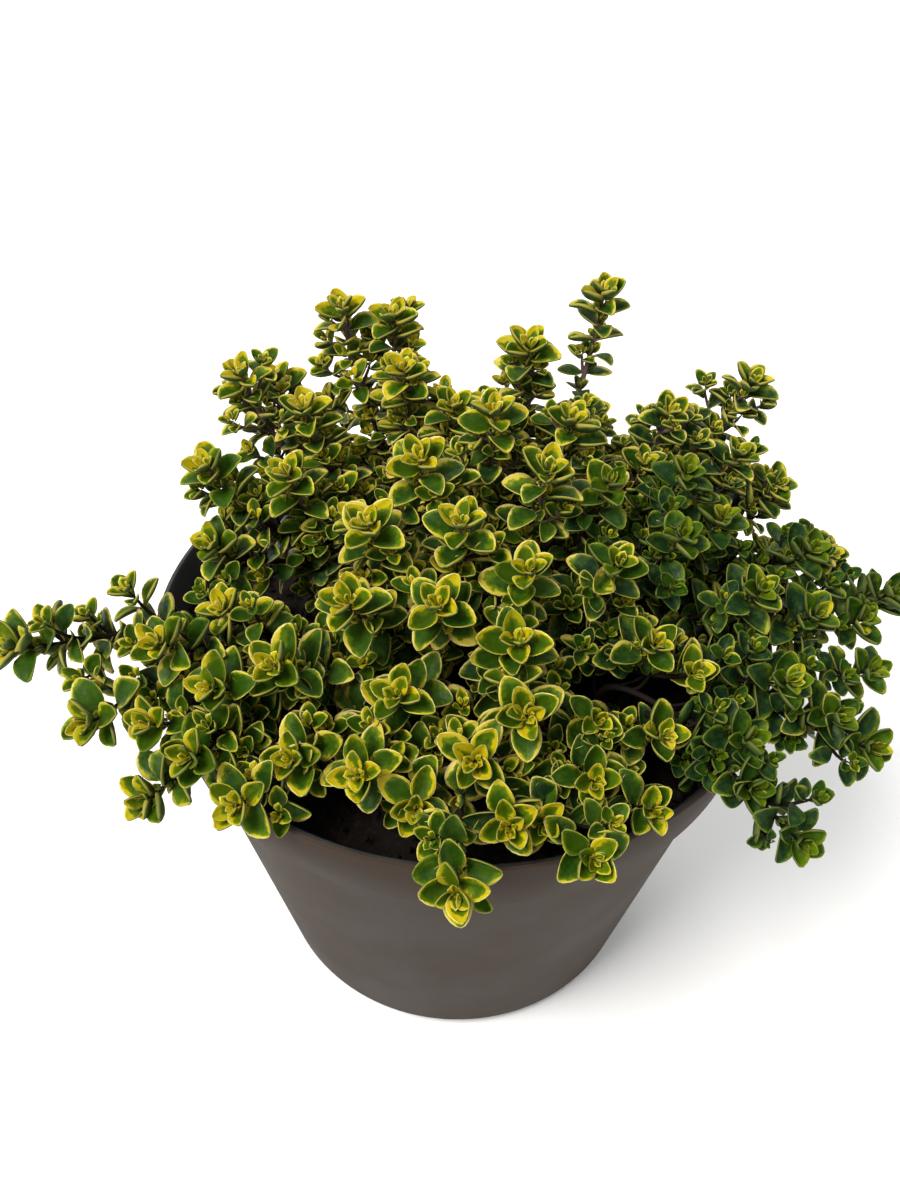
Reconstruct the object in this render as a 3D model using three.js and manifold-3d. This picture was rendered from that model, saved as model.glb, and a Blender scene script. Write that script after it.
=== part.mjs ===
// A variegated thyme plant in a tapered plastic nursery pot filled with potting compost.
// Millimetres, +Z up. The origin is the middle of the pot's underside, and -Y is the front.
import * as THREE from "three";
import { mergeVertices } from "three/addons/utils/BufferGeometryUtils.js";
import Module from "manifold-3d";

// The pot: a thin tapered wall with a wider collar round its top. It stands on its outer ring
// and on a pad in the middle, and drains through holes in the raised channel between them.
const POT_HEIGHT = 96;
const RIM_RADIUS = 65;
const FOOT_RADIUS = 42.5;
const COLLAR_HEIGHT = 16;
const COLLAR_STEP = 2.4;
const COLLAR_TAPER = 2.6;
const WALL = 1.6;
const FLOOR = 3.6;
const UNDERSIDE_RISE = 2;
const PAD_RADIUS = 14;
const FOOT_RING = 6.5;
const DRAIN_HOLES = 8;
const DRAIN_RADIUS = 3.5;
const DRAIN_CIRCLE = 25;
const DRAIN_SIDES = 8;
const ROUND_STEPS = 32;

// The compost nearly fills the pot, with a small gap to its wall, and its top is uneven.
const COMPOST_TOP = 87;
const COMPOST_RELIEF = 0.9;
const COMPOST_RINGS = [44, 22, 0];
const SEAT_GAP = 0.3;

// Corners this near to each other are one corner, and joining and cutting leave no shorter edge.
const SAME_CORNER = 1e-4;
const SLIVER = 0.02;

// The stems are square, as on any mint, and stand in plain square holes in the compost.
const STEM_WIDTH = 1.5;
const STEM_STEP = 15;
const ROOT_DEPTH = 9;
const STEM_STAND = 6;
const CROWN = new THREE.Vector3(2, -6, COMPOST_TOP);
const ROOT_SPREAD = 0.5;
const FORK_SHARE = 0.45;

// How far a stem keeps its first direction, for each millimetre that it climbs and reaches out,
// and how far a stem and a branch keep their last direction, as shares of their span.
const CLIMB_PULL = 0.3;
const REACH_PULL = 0.42;
const STEM_PULL = 0.4;
const BRANCH_PULL = 0.36;

// The leaves stand in opposite pairs, and each pair is a quarter turn from the next. Each level
// is one pair, with its distance below the tip, its leaves' length, and their angle to the stem.
const LEAF_LEVELS = [
  { below: 0.2, length: 5.4, angle: 24 },
  { below: 3.4, length: 8.0, angle: 50 },
  { below: 8.2, length: 9.2, angle: 68 },
  { below: 15.0, length: 9.0, angle: 78 },
  { below: 22.5, length: 8.6, angle: 82 },
  { below: 30.5, length: 8.2, angle: 84 },
];
const STEM_PER_PAIR = 13.7;
const FEWEST_PAIRS = 3;
const BARE_ABOVE_COMPOST = 8;
const LEAF_WIDTH_SHARE = 0.68;
const LEAF_KEEL = 1.1;
const LEAF_CUP = 0.26;
const LEAF_START = 0.4;
const LEAF_CLEARANCE = 0.3;

// The leaves are yellower on the left of the plant, and greener on the right.
const LEFT_LEAVES = new THREE.Color(0x98a53a);
const RIGHT_LEAVES = new THREE.Color(0x4f7d2a);
const COLOUR_SPAN = 90;

// One row for each leafy stem. Each tip is x, y, z and the lean of the tip from upright, in degrees,
// away from the root. The first tip ends the stem, and the second ends a side branch.
const STEMS = [
  [[-30, -48, 104, 45], [-39, -56, 101, 62]],
  [[-34, -35, 114, 30]],
  [[-18, -52, 105, 40], [-8, -56, 101, 55]],
  [[2, -51, 108, 35], [8, -60, 102, 55]],
  [[-1, -71, 99, 88]],
  [[14, -57, 99, 58], [22, -64, 99, 66]],
  [[23, -51, 103, 45], [33, -54, 99, 58]],
  [[-12, -40, 112, 30]],
  [[11, -44, 112, 35], [9, -33, 119, 20]],
  [[24, -40, 107, 40], [36, -41, 104, 50]],
  [[51, -42, 104, 60]],
  [[-45, -38, 111, 48], [-57, -40, 103, 64]],
  [[-56, -29, 113, 45], [-46, -19, 112, 35]],
  [[-86, -24, 106, 82], [-69, -38, 101, 78]],
  [[-57, -49, 93, 112], [-48, -48, 104, 60]],
  [[-21, -27, 122, 24]],
  [[-18, -16, 131, 14]],
  [[11, -22, 126, 18]],
  [[35, -27, 113, 34], [42, -31, 110, 42]],
  [[60, -31, 108, 56]],
  [[70, -33, 101, 68], [77, -36, 96, 88]],
  [[61, -54, 91, 118], [52, -48, 98, 96]],
  [[80, -21, 101, 68]],
  [[88, -3, 105, 80], [80, -10, 104, 66]],
  [[68, -15, 110, 50], [56, -16, 117, 34]],
  [[70, 1, 113, 50]],
  [[28, -17, 124, 20]],
  [[41, -9, 124, 24], [51, 1, 121, 30]],
  [[-1, -15, 131, 8], [-5, -28, 123, 20]],
  [[-9, -4, 137, 8]],
  [[15, -4, 135, 12]],
  [[27, -2, 131, 14]],
  [[43, 5, 129, 18]],
  [[56, 17, 125, 34], [65, 15, 119, 46]],
  [[-27, 41, 147, 14], [-16, 40, 146, 8]],
  [[-46, 23, 138, 18], [-41, 33, 131, 22]],
  [[-51, 5, 128, 26], [-50, -5, 116, 42]],
  [[-35, 3, 128, 14]],
  [[-33, 17, 134, 14]],
  [[-13, 25, 139, 8], [-3, 19, 134, 4]],
  [[5, 11, 138, 4]],
  [[12, 27, 147, 8]],
  [[27, 35, 155, 8]],
  [[21, 15, 134, 8]],
  [[41, 20, 133, 18], [36, 12, 126, 12]],
  [[59, 29, 135, 28]],
  [[30, 50, 113, 42], [48, 45, 111, 50]],
  [[9, 50, 114, 36]],
  [[-9, 53, 107, 50]],
  [[64, 40, 104, 62]],
  [[-36, 45, 112, 42]],
  [[80, 15, 101, 68]],
];

const wasm = await Module();
wasm.setup();

// A closed three.js geometry as a solid that can be joined and cut.
function solidOf(geometry) {
  const bare = geometry.clone();
  bare.deleteAttribute("normal");
  bare.deleteAttribute("uv");
  const merged = mergeVertices(bare, SAME_CORNER);
  return new wasm.Manifold(
    new wasm.Mesh({
      numProp: 3,
      vertProperties: merged.attributes.position.array,
      triVerts: new Uint32Array(merged.index.array),
    }),
  );
}

// A joined or cut solid as a three.js geometry, with each sliver of an edge drawn to a point.
function geometryOf(solid) {
  const mesh = solid.asOriginal().simplify(SLIVER).getMesh();
  const geometry = new THREE.BufferGeometry();
  geometry.setAttribute("position", new THREE.BufferAttribute(mesh.vertProperties, 3));
  geometry.setIndex(new THREE.BufferAttribute(mesh.triVerts, 1));
  geometry.computeVertexNormals();
  return geometry;
}

// A turned shape about the Z axis, from a profile of radius and height.
function turned(profile) {
  const points = profile.map(([radius, height]) => new THREE.Vector2(radius, height));
  return new THREE.LatheGeometry(points, ROUND_STEPS).rotateX(Math.PI / 2);
}

// The pot's outside radius under the collar, and its inner wall from the floor to the rim.
const COLLAR_FOOT = POT_HEIGHT - COLLAR_HEIGHT;
const BODY_TOP_RADIUS = RIM_RADIUS - COLLAR_STEP - COLLAR_TAPER;
const INNER_WALL = [
  [FOOT_RADIUS + 1.2, FLOOR],
  [BODY_TOP_RADIUS - WALL, COLLAR_FOOT - 1],
  [BODY_TOP_RADIUS + COLLAR_STEP - WALL, COLLAR_FOOT + 1.4],
  [RIM_RADIUS - WALL, POT_HEIGHT],
];

// A hole through the floor, at a share of a full turn round the drain circle.
function drainHole(share) {
  const turn = 2 * Math.PI * share;
  const depth = 2 * FLOOR;
  const hole = new THREE.CylinderGeometry(DRAIN_RADIUS, DRAIN_RADIUS, depth, DRAIN_SIDES);
  hole.rotateX(Math.PI / 2);
  hole.translate(DRAIN_CIRCLE * Math.cos(turn), DRAIN_CIRCLE * Math.sin(turn), FLOOR / 2);
  return solidOf(hole);
}

function potSolid() {
  const profile = [
    [0, 0],
    [PAD_RADIUS, 0],
    [PAD_RADIUS + UNDERSIDE_RISE, UNDERSIDE_RISE],
    [FOOT_RADIUS - FOOT_RING - UNDERSIDE_RISE, UNDERSIDE_RISE],
    [FOOT_RADIUS - FOOT_RING, 0],
    [FOOT_RADIUS, 0],
    [FOOT_RADIUS + 3, 3],
    [BODY_TOP_RADIUS, COLLAR_FOOT - 1.2],
    [BODY_TOP_RADIUS + COLLAR_STEP, COLLAR_FOOT + 0.6],
    [RIM_RADIUS, POT_HEIGHT - 0.8],
    [RIM_RADIUS - 0.3, POT_HEIGHT],
    ...[...INNER_WALL].reverse(),
    [0, FLOOR],
  ];
  const holes = Array.from({ length: DRAIN_HOLES }, (_, i) => drainHole((i + 0.5) / DRAIN_HOLES));
  return solidOf(turned(profile)).subtract(wasm.Manifold.union(holes));
}

// The height of the crumbled surface above or below the compost's mean level.
function relief(x, y) {
  const swell = Math.sin(0.17 * x + 1.3) * Math.cos(0.15 * y - 0.4);
  return COMPOST_RELIEF * (0.6 * swell + 0.4 * Math.sin(0.37 * x + 0.29 * y));
}

// The body of compost, before the holes for the stems are made in it.
function compostBody() {
  const wall = INNER_WALL.slice(0, 3).map(([radius, height]) => [radius - SEAT_GAP, height]);
  wall[0][1] += SEAT_GAP;
  const rise = (COMPOST_TOP - wall[2][1]) / (POT_HEIGHT - wall[2][1]);
  const edge = THREE.MathUtils.lerp(wall[2][0], RIM_RADIUS - WALL - SEAT_GAP, rise);
  const rings = [edge, ...COMPOST_RINGS].map((radius) => [radius, COMPOST_TOP]);
  const body = turned([[0, wall[0][1]], ...wall, ...rings]);
  const position = body.getAttribute("position");
  for (let i = 0; i < position.count; i++) {
    const [x, y] = [position.getX(i), position.getY(i)];
    const onTop = position.getZ(i) > COMPOST_TOP - 0.01 && Math.hypot(x, y) < edge - 1;
    if (onTop) position.setZ(i, COMPOST_TOP + relief(x, y));
  }
  return solidOf(body);
}

// The direction of a tip: leaning by so many degrees from upright, away from where it starts.
function tipDirection(start, tip, lean) {
  const away = new THREE.Vector3(tip.x - start.x, tip.y - start.y, 0).normalize();
  const tilt = THREE.MathUtils.degToRad(lean);
  return away.multiplyScalar(Math.sin(tilt)).add(new THREE.Vector3(0, 0, Math.cos(tilt)));
}

// A stem's line: straight up out of its hole, which lies between the crown and the place under
// the tip, and then, from where it stands clear of the compost, bending over to the tip.
function stemLine([x, y, z, lean]) {
  const tip = new THREE.Vector3(x, y, z);
  const stand = CROWN.clone().lerp(tip, ROOT_SPREAD).setZ(COMPOST_TOP + STEM_STAND);
  const out = Math.hypot(x - stand.x, y - stand.y);
  const rise = CLIMB_PULL * Math.max(0, z - stand.z) + REACH_PULL * out;
  const reach = STEM_PULL * stand.distanceTo(tip);
  const line = new THREE.CurvePath();
  line.add(new THREE.LineCurve3(stand.clone().setZ(COMPOST_TOP - ROOT_DEPTH), stand));
  line.add(
    new THREE.CubicBezierCurve3(
      stand,
      stand.clone().setZ(stand.z + rise),
      tip.clone().addScaledVector(tipDirection(stand, tip, lean), -reach),
      tip,
    ),
  );
  return line;
}

// A side branch's line, which opens out of the stem half way between its direction and the tip's.
function forkLine(stem, [x, y, z, lean]) {
  const { point, along } = stationOn(stem, (1 - FORK_SHARE) * stem.length);
  const tip = new THREE.Vector3(x, y, z);
  const leaving = tip.clone().sub(point).normalize().add(along).normalize();
  const reach = BRANCH_PULL * point.distanceTo(tip);
  return new THREE.CubicBezierCurve3(
    point,
    point.clone().addScaledVector(leaving, reach),
    tip.clone().addScaledVector(tipDirection(point, tip, lean), -reach),
    tip,
  );
}

// The corners of a square of a given half width, turned about its middle.
function squareSection(half, turn) {
  const reach = half * Math.SQRT2;
  const corners = [1, 3, 5, 7].map((eighth) => turn + (eighth * Math.PI) / 4);
  return new THREE.Shape(
    corners.map((a) => new THREE.Vector2(reach * Math.cos(a), reach * Math.sin(a))),
  );
}

// A square rod along a line, in straight stretches. It keeps its joints and its sides at each.
function rodAlong(line, turn) {
  const length = line.getLength();
  const steps = Math.ceil(length / STEM_STEP);
  const section = squareSection(STEM_WIDTH / 2, turn);
  const shape = new THREE.ExtrudeGeometry(section, { extrudePath: line, steps, bevelEnabled: false });
  const { normals, binormals } = line.computeFrenetFrames(steps, false);
  const sides = normals.map((normal, i) =>
    normal.clone().multiplyScalar(Math.cos(turn)).addScaledVector(binormals[i], Math.sin(turn)),
  );
  return { joints: line.getSpacedPoints(steps), sides, length, solid: solidOf(shape) };
}

// The point so far below a rod's tip, with the direction to the tip and the rod's side there.
function stationOn({ joints, sides }, below) {
  let left = below;
  let i = joints.length - 1;
  while (i > 1 && left > joints[i].distanceTo(joints[i - 1])) {
    left -= joints[i].distanceTo(joints[i - 1]);
    i--;
  }
  const share = left / joints[i].distanceTo(joints[i - 1]);
  const along = joints[i].clone().sub(joints[i - 1]).normalize();
  const side = sides[i].clone().lerp(sides[i - 1], share);
  side.addScaledVector(along, -side.dot(along)).normalize();
  return { point: joints[i].clone().lerp(joints[i - 1], share), along, side };
}

// A leaf's outline: share of its length from the stem, and share of its width from the rib.
const LEAF_OUTLINE = [
  [0, 0],
  [0.44, 0.5],
  [0.8, 0.34],
  [1, 0],
  [0.8, -0.34],
  [0.44, -0.5],
];
const LEAF_KEEL_PLACE = 0.5;
const LEAF_FACES = [
  [3, 2, 1],
  [3, 1, 0],
  [3, 0, 5],
  [3, 5, 4],
  [0, 1, 6],
  [1, 2, 6],
  [2, 3, 6],
  [3, 4, 6],
  [4, 5, 6],
  [5, 0, 6],
];

// A leaf: creased along the rib on top, raised at its edges, and swelling to a keel underneath.
// Its frame has the leaf's length along X, its width along Y and its upper side towards +Z.
// The extra makes it larger all round, to try it against its neighbours.
function leafSolid(frame, length, extra = 0) {
  const width = length * LEAF_WIDTH_SHARE + 2 * extra;
  const points = LEAF_OUTLINE.map(([along, across]) => {
    const y = across * width;
    return new THREE.Vector3(along * (length + extra), y, LEAF_CUP * Math.abs(y) + extra);
  });
  points.push(new THREE.Vector3(LEAF_KEEL_PLACE * length, 0, -LEAF_KEEL - extra));
  const places = points.flatMap((point) => point.applyMatrix4(frame).toArray());
  return new wasm.Manifold(
    new wasm.Mesh({
      numProp: 3,
      vertProperties: new Float32Array(places),
      triVerts: new Uint32Array(LEAF_FACES.flat()),
    }),
  );
}

// The frame of a leaf that leaves a stem at a station, to the side at a turn, opened by an angle.
function leafFrame({ point, along, side }, turn, angle) {
  const outward = side.clone().applyAxisAngle(along, turn);
  const open = THREE.MathUtils.degToRad(angle);
  const length = outward.clone().multiplyScalar(Math.sin(open)).addScaledVector(along, Math.cos(open));
  const upper = outward.clone().multiplyScalar(-Math.cos(open)).addScaledVector(along, Math.sin(open));
  const width = upper.clone().cross(length);
  const start = point.clone().addScaledVector(outward, LEAF_START);
  return new THREE.Matrix4().makeBasis(length, width, upper).setPosition(start);
}

// Ways to bend a leaf that would cross a neighbour: more open or closed, turned, and smaller.
const BENDS = [
  { open: 0, turn: 0, size: 1 },
  { open: -14, turn: 0, size: 1 },
  { open: 12, turn: 0, size: 1 },
  { open: -6, turn: 16, size: 0.95 },
  { open: -6, turn: -16, size: 0.95 },
  { open: -28, turn: 0, size: 0.85 },
  { open: 0, turn: 0, size: 0.7 },
  { open: 24, turn: 0, size: 0.7 },
];

function withBox(solid) {
  return { solid, box: solid.boundingBox() };
}

function boxesMeet(a, b) {
  return [0, 1, 2].every((k) => a.min[k] < b.max[k] && b.min[k] < a.max[k]);
}

function isClear(trial, others) {
  const box = trial.boundingBox();
  return others.every(
    (other) => !boxesMeet(box, other.box) || trial.intersect(other.solid).isEmpty(),
  );
}

// The leaf at a station in the first bend that keeps clear of the others, or nothing.
function clearLeaf(station, turn, { length, angle }, others) {
  const tries = BENDS.map((bend) => ({
    frame: leafFrame(station, turn + THREE.MathUtils.degToRad(bend.turn), angle + bend.open),
    size: length * bend.size,
  }));
  const fits = tries.find(({ frame, size }) => isClear(leafSolid(frame, size, LEAF_CLEARANCE), others));
  return fits && withBox(leafSolid(fits.frame, fits.size));
}

// The pair of opposite leaves at one level of a rod, each where it clears its neighbours.
function leafPair(rod, level, others) {
  const { below } = LEAF_LEVELS[level];
  const pairs = Math.max(FEWEST_PAIRS, Math.floor(rod.length / STEM_PER_PAIR));
  const station = stationOn(rod, below);
  if (level >= pairs) return [];
  const { x, y, z } = station.point;
  const inPot = Math.hypot(x, y) < RIM_RADIUS;
  if (inPot && z < COMPOST_TOP + BARE_ABOVE_COMPOST) return [];
  const turn = (level * Math.PI) / 2;
  const leaves = [turn, turn + Math.PI].map((t) => clearLeaf(station, t, LEAF_LEVELS[level], others));
  return leaves.filter(Boolean);
}

// Every stem with its branch, as square rods. The golden angle turns each one differently.
const GOLDEN_ANGLE = Math.PI * (3 - Math.sqrt(5));
const plants = STEMS.map(([main, fork], i) => {
  const rods = [rodAlong(stemLine(main), i * GOLDEN_ANGLE)];
  if (fork) rods.push(rodAlong(forkLine(rods[0], fork), (i + 0.5) * GOLDEN_ANGLE));
  return { turn: i * GOLDEN_ANGLE, rods, solids: rods.map(({ solid }) => withBox(solid)) };
});

// The square hole that a stem stands in, a little wider than the stem.
function stemHole({ rods, turn }) {
  const [foot] = rods[0].joints;
  const section = squareSection(STEM_WIDTH / 2 + SEAT_GAP, turn);
  const path = new THREE.LineCurve3(
    foot.clone().setZ(COMPOST_TOP - ROOT_DEPTH - SEAT_GAP),
    foot.clone().setZ(COMPOST_TOP + STEM_STAND),
  );
  const options = { extrudePath: path, steps: 1, bevelEnabled: false };
  return solidOf(new THREE.ExtrudeGeometry(section, options));
}

const pot = potSolid();
const compost = compostBody().subtract(wasm.Manifold.union(plants.map(stemHole)));
const surround = [withBox(pot), withBox(compost)];

// The tips get their leaves first, so that a lower leaf gives way to a higher one.
LEAF_LEVELS.forEach((_, level) => {
  for (const plant of plants) {
    const others = plants.filter((other) => other !== plant).flatMap((other) => other.solids);
    for (const rod of plant.rods) {
      plant.solids.push(...leafPair(rod, level, [...others, ...surround]));
    }
  }
});

function leafColour([x]) {
  const share = THREE.MathUtils.clamp(0.5 + x / COLOUR_SPAN, 0, 1);
  return LEFT_LEAVES.clone().lerp(RIGHT_LEAVES, share);
}

function piece(name, solid, color, roughness) {
  const material = new THREE.MeshStandardMaterial({ color, roughness, metalness: 0 });
  const mesh = new THREE.Mesh(geometryOf(solid), material);
  mesh.name = name;
  return mesh;
}

const pottedThyme = new THREE.Group();
pottedThyme.add(piece("pot", pot, 0x6b625c, 0.6));
pottedThyme.add(piece("compost", compost, 0x1f1712, 0.95));
plants.forEach(({ solids }, i) => {
  const joined = wasm.Manifold.union(solids.map(({ solid }) => solid));
  const name = `leafy_stem_${String(i + 1).padStart(2, "0")}`;
  pottedThyme.add(piece(name, joined, leafColour(STEMS[i][0]), 0.55));
});

export default pottedThyme;
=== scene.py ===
"""A potted variegated thyme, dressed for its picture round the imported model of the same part."""

import math
import random
from itertools import product
from typing import NamedTuple

import bmesh
import bpy
from bpy.props import FloatProperty, FloatVectorProperty, IntProperty, PointerProperty
from mathutils import Matrix, Quaternion, Vector, geometry


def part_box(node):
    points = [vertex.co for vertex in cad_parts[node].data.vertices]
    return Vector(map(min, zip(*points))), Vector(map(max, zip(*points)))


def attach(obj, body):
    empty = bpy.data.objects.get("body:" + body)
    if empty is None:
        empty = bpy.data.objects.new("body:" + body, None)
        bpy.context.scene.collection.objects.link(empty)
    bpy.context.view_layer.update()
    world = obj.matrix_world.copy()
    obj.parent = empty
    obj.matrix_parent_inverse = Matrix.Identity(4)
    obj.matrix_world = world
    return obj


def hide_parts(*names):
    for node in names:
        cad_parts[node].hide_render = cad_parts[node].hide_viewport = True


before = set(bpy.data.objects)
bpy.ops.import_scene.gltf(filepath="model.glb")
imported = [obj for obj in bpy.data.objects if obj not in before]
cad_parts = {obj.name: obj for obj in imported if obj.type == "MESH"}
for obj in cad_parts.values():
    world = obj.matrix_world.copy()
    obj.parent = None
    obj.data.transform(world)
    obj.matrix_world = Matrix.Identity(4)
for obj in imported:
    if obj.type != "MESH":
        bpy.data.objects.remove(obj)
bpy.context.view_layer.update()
POT_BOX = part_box("pot")
COMPOST_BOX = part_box("compost")

bl_info = {
    "name": "Potted Thyme",
    "version": (1, 0, 0),
    "blender": (4, 5, 0),
    "location": "3D View > Sidebar > Thyme",
    "description": "Builds a variegated thyme plant in a nursery pot",
    "category": "Object",
}

MM = 0.001
UP = Vector((0, 0, 1))
GOLDEN_ANGLE = math.pi * (3 - math.sqrt(5))
LIGHT = Vector((-0.15, -0.45, 1.0)).normalized()

# The leafy stems, as in the part's source. One row for each, in millimetres. Each tip is x, y, z
# and its lean from upright in degrees. The first tip ends the stem, and the second a side branch.
STEMS = [
    [[-30, -48, 104, 45], [-39, -56, 101, 62]],
    [[-34, -35, 114, 30]],
    [[-18, -52, 105, 40], [-8, -56, 101, 55]],
    [[2, -51, 108, 35], [8, -60, 102, 55]],
    [[-1, -71, 99, 88]],
    [[14, -57, 99, 58], [22, -64, 99, 66]],
    [[23, -51, 103, 45], [33, -54, 99, 58]],
    [[-12, -40, 112, 30]],
    [[11, -44, 112, 35], [9, -33, 119, 20]],
    [[24, -40, 107, 40], [36, -41, 104, 50]],
    [[51, -42, 104, 60]],
    [[-45, -38, 111, 48], [-57, -40, 103, 64]],
    [[-56, -29, 113, 45], [-46, -19, 112, 35]],
    [[-86, -24, 106, 82], [-69, -38, 101, 78]],
    [[-57, -49, 93, 112], [-48, -48, 104, 60]],
    [[-21, -27, 122, 24]],
    [[-18, -16, 131, 14]],
    [[11, -22, 126, 18]],
    [[35, -27, 113, 34], [42, -31, 110, 42]],
    [[60, -31, 108, 56]],
    [[70, -33, 101, 68], [77, -36, 96, 88]],
    [[61, -54, 91, 118], [52, -48, 98, 96]],
    [[80, -21, 101, 68]],
    [[88, -3, 105, 80], [80, -10, 104, 66]],
    [[68, -15, 110, 50], [56, -16, 117, 34]],
    [[70, 1, 113, 50]],
    [[28, -17, 124, 20]],
    [[41, -9, 124, 24], [51, 1, 121, 30]],
    [[-1, -15, 131, 8], [-5, -28, 123, 20]],
    [[-9, -4, 137, 8]],
    [[15, -4, 135, 12]],
    [[27, -2, 131, 14]],
    [[43, 5, 129, 18]],
    [[56, 17, 125, 34], [65, 15, 119, 46]],
    [[-27, 41, 147, 14], [-16, 40, 146, 8]],
    [[-46, 23, 138, 18], [-41, 33, 131, 22]],
    [[-51, 5, 128, 26], [-50, -5, 116, 42]],
    [[-35, 3, 128, 14]],
    [[-33, 17, 134, 14]],
    [[-13, 25, 139, 8], [-3, 19, 134, 4]],
    [[5, 11, 138, 4]],
    [[12, 27, 147, 8]],
    [[27, 35, 155, 8]],
    [[21, 15, 134, 8]],
    [[41, 20, 133, 18], [36, 12, 126, 12]],
    [[59, 29, 135, 28]],
    [[30, 50, 113, 42], [48, 45, 111, 50]],
    [[9, 50, 114, 36]],
    [[-9, 53, 107, 50]],
    [[64, 40, 104, 62]],
    [[-36, 45, 112, 42]],
    [[80, 15, 101, 68]],
]

# How the stems run, as in the part's source.
CROWN = Vector((2, -6, 87)) * MM
ROOT_DEPTH = 9 * MM
STEM_STAND = 6 * MM
ROOT_SPREAD = 0.5
FORK_SHARE = 0.45
CLIMB_PULL = 0.3
REACH_PULL = 0.42
STEM_PULL = 0.4
BRANCH_PULL = 0.36
LINE_STEP = 3 * MM
# The tallest tips are set this much lower, because their rosettes reach above them.
TIP_DROP = 3.5 * MM

# The open gap in the foliage, right of the middle, through which the photo shows the compost.
GAP_FOOT = Vector((36, -15, 88)) * MM
GAP_TOP = Vector((29, -43, 118)) * MM
GAP_WIDTH = 24 * MM
GAP_DEPTH = 12 * MM


class Shoot(NamedTuple):
    """A growing line: its points from the foot to the tip, with the direction and one side at each."""
    points: list
    ways: list
    sides: list
    length: float


class Station(NamedTuple):
    """A place on a shoot, with the direction to its tip and its side there."""
    point: Vector
    way: Vector
    side: Vector


class LeafPair(NamedTuple):
    """A pair of opposite leaves: how far below the tip, their length, opening and kind."""
    below: float
    length: float
    opening: float
    kind: str


# The pairs near a tip, from the youngest down. Further down one follows every few millimetres.
TIP_PAIRS = [
    LeafPair(-0.7, 1.9, 6, "young"),
    LeafPair(-0.5, 3.1, 14, "young"),
    LeafPair(-0.1, 4.5, 25, "cupped"),
    LeafPair(0.6, 5.8, 38, "cupped"),
    LeafPair(1.6, 6.9, 52, "cupped"),
    LeafPair(3.2, 7.7, 65, "grown"),
    LeafPair(5.8, 8.0, 75, "grown"),
    LeafPair(9.2, 7.9, 79, "grown"),
    LeafPair(13.4, 7.6, 82, "grown"),
    LeafPair(18.2, 7.2, 84, "old"),
    LeafPair(23.5, 6.8, 86, "old"),
]
# The pair whose leaves point along their stem's own side. Each other one is a quarter turn on.
LEVEL_PAIR = 3
# The pairs further down: how far they are apart, their length and their opening.
OLD_PAIR_STEP = 5.6
OLD_PAIR_LENGTH = 6.7
OLD_PAIR_OPENING = 88

# The pairs of a short side shoot, from its tip down.
SIDE_PAIRS = [
    LeafPair(-0.5, 1.8, 8, "young"),
    LeafPair(-0.2, 2.9, 18, "young"),
    LeafPair(0.4, 4.3, 36, "cupped"),
    LeafPair(1.7, 5.6, 56, "cupped"),
    LeafPair(4.0, 6.4, 70, "grown"),
    LeafPair(7.2, 6.5, 78, "grown"),
]
# The least that a pair stands over the foot: of a stem, of a side shoot, and for the old pairs.
PAIR_OVER_FOOT = 1.5 * MM
SIDE_PAIR_OVER_FOOT = 2 * MM
OLD_PAIR_OVER_FOOT = 3 * MM
# How far a side shoot's foot and a leaf's foot stand off the middle of their stem.
LEAF_START = 0.4 * MM
# What a leaf that would meet another tries: how far it closes instead, in degrees.
CLOSINGS = (0, 14, -12, 28)
# How much a leaf turns, opens and rolls by chance, in degrees.
WOBBLES = (10, 7, 11)

# A stem's section: a square with cut corners, from -1 to 1.
STEM_SECTION = [(1, 0.55), (0.55, 1), (-0.55, 1), (-1, 0.55),
                (-1, -0.55), (-0.55, -1), (0.55, -1), (1, -0.55)]

# The leaves set so far are kept in cells of this size, a little over the longest leaf.
BLADE_CELL = 10 * MM
# A leaf in its own coordinates, 1 long and 1 wide: the blade's height, middle and half sizes, and
# the ends of its rib and of two lines to its margins.
BLADE_RISE = 0.06
BLADE_MIDDLE = 0.52
BLADE_HALF_LENGTH = 0.46
BLADE_HALF_WIDTH = 0.45
LEAF_MIDDLE = Vector((0.5, 0, 0))
LEAF_TIP = Vector((0.98, 0, 0.1))
LEAF_MARGINS = (Vector((0.55, 0.44, 0.1)), Vector((0.55, -0.44, 0.1)))

# Where a leaf can't be, measured from the rim's radius inwards and from the rim or compost up.
INSIDE_POT = 2 * MM
LEAF_OVER_COMPOST = 0.8 * MM
RIM_MIDDLE = 1 * MM
RIM_HALF_WIDTH = 2.2 * MM
LEAF_OVER_RIM = 0.4 * MM
WALL_REACH = 5 * MM
WALL_TOP = 90 * MM

# Side shoots: the range of their lengths in millimetres.
SIDE_SHOOT_LENGTHS = (4.5, 11)
# Their direction as a mix of outwards, their stem's way and up: as a whole, where each has its own
# share outwards, and then at the tip and at the foot.
SIDE_SHOOT_RISE = (0.7, 0.35)
SIDE_TIP_WAY = (0.3, 0.55, 0.7)
SIDE_FOOT_WAY = (0.5, 0.9, 0)
# So as to pass through no leaf, one may be shorter and open wider.
SIDE_SHOOT_SHARES = (1, 0.75, 0.5)
SIDE_SHOOT_SPREADS = (0, 0.3, 0.6)
# The room that it needs over its tip, and the height over which it grows.
ROSETTE_ROOM = 2.5 * MM
LOWEST_SIDE_SHOOT = 94 * MM

# Buds: their direction, mixed in the same way, and their foot, in millimetres outwards and up.
BUD_WAY = (0.45, 0.9, 0)
BUD_START = (0.4, 0.6)
# Where a bud ends, as a share of its size, and the shares that its size may have.
BUD_END = 1.12
BUD_SHARES = (1, 0.65)


# Settings

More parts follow.
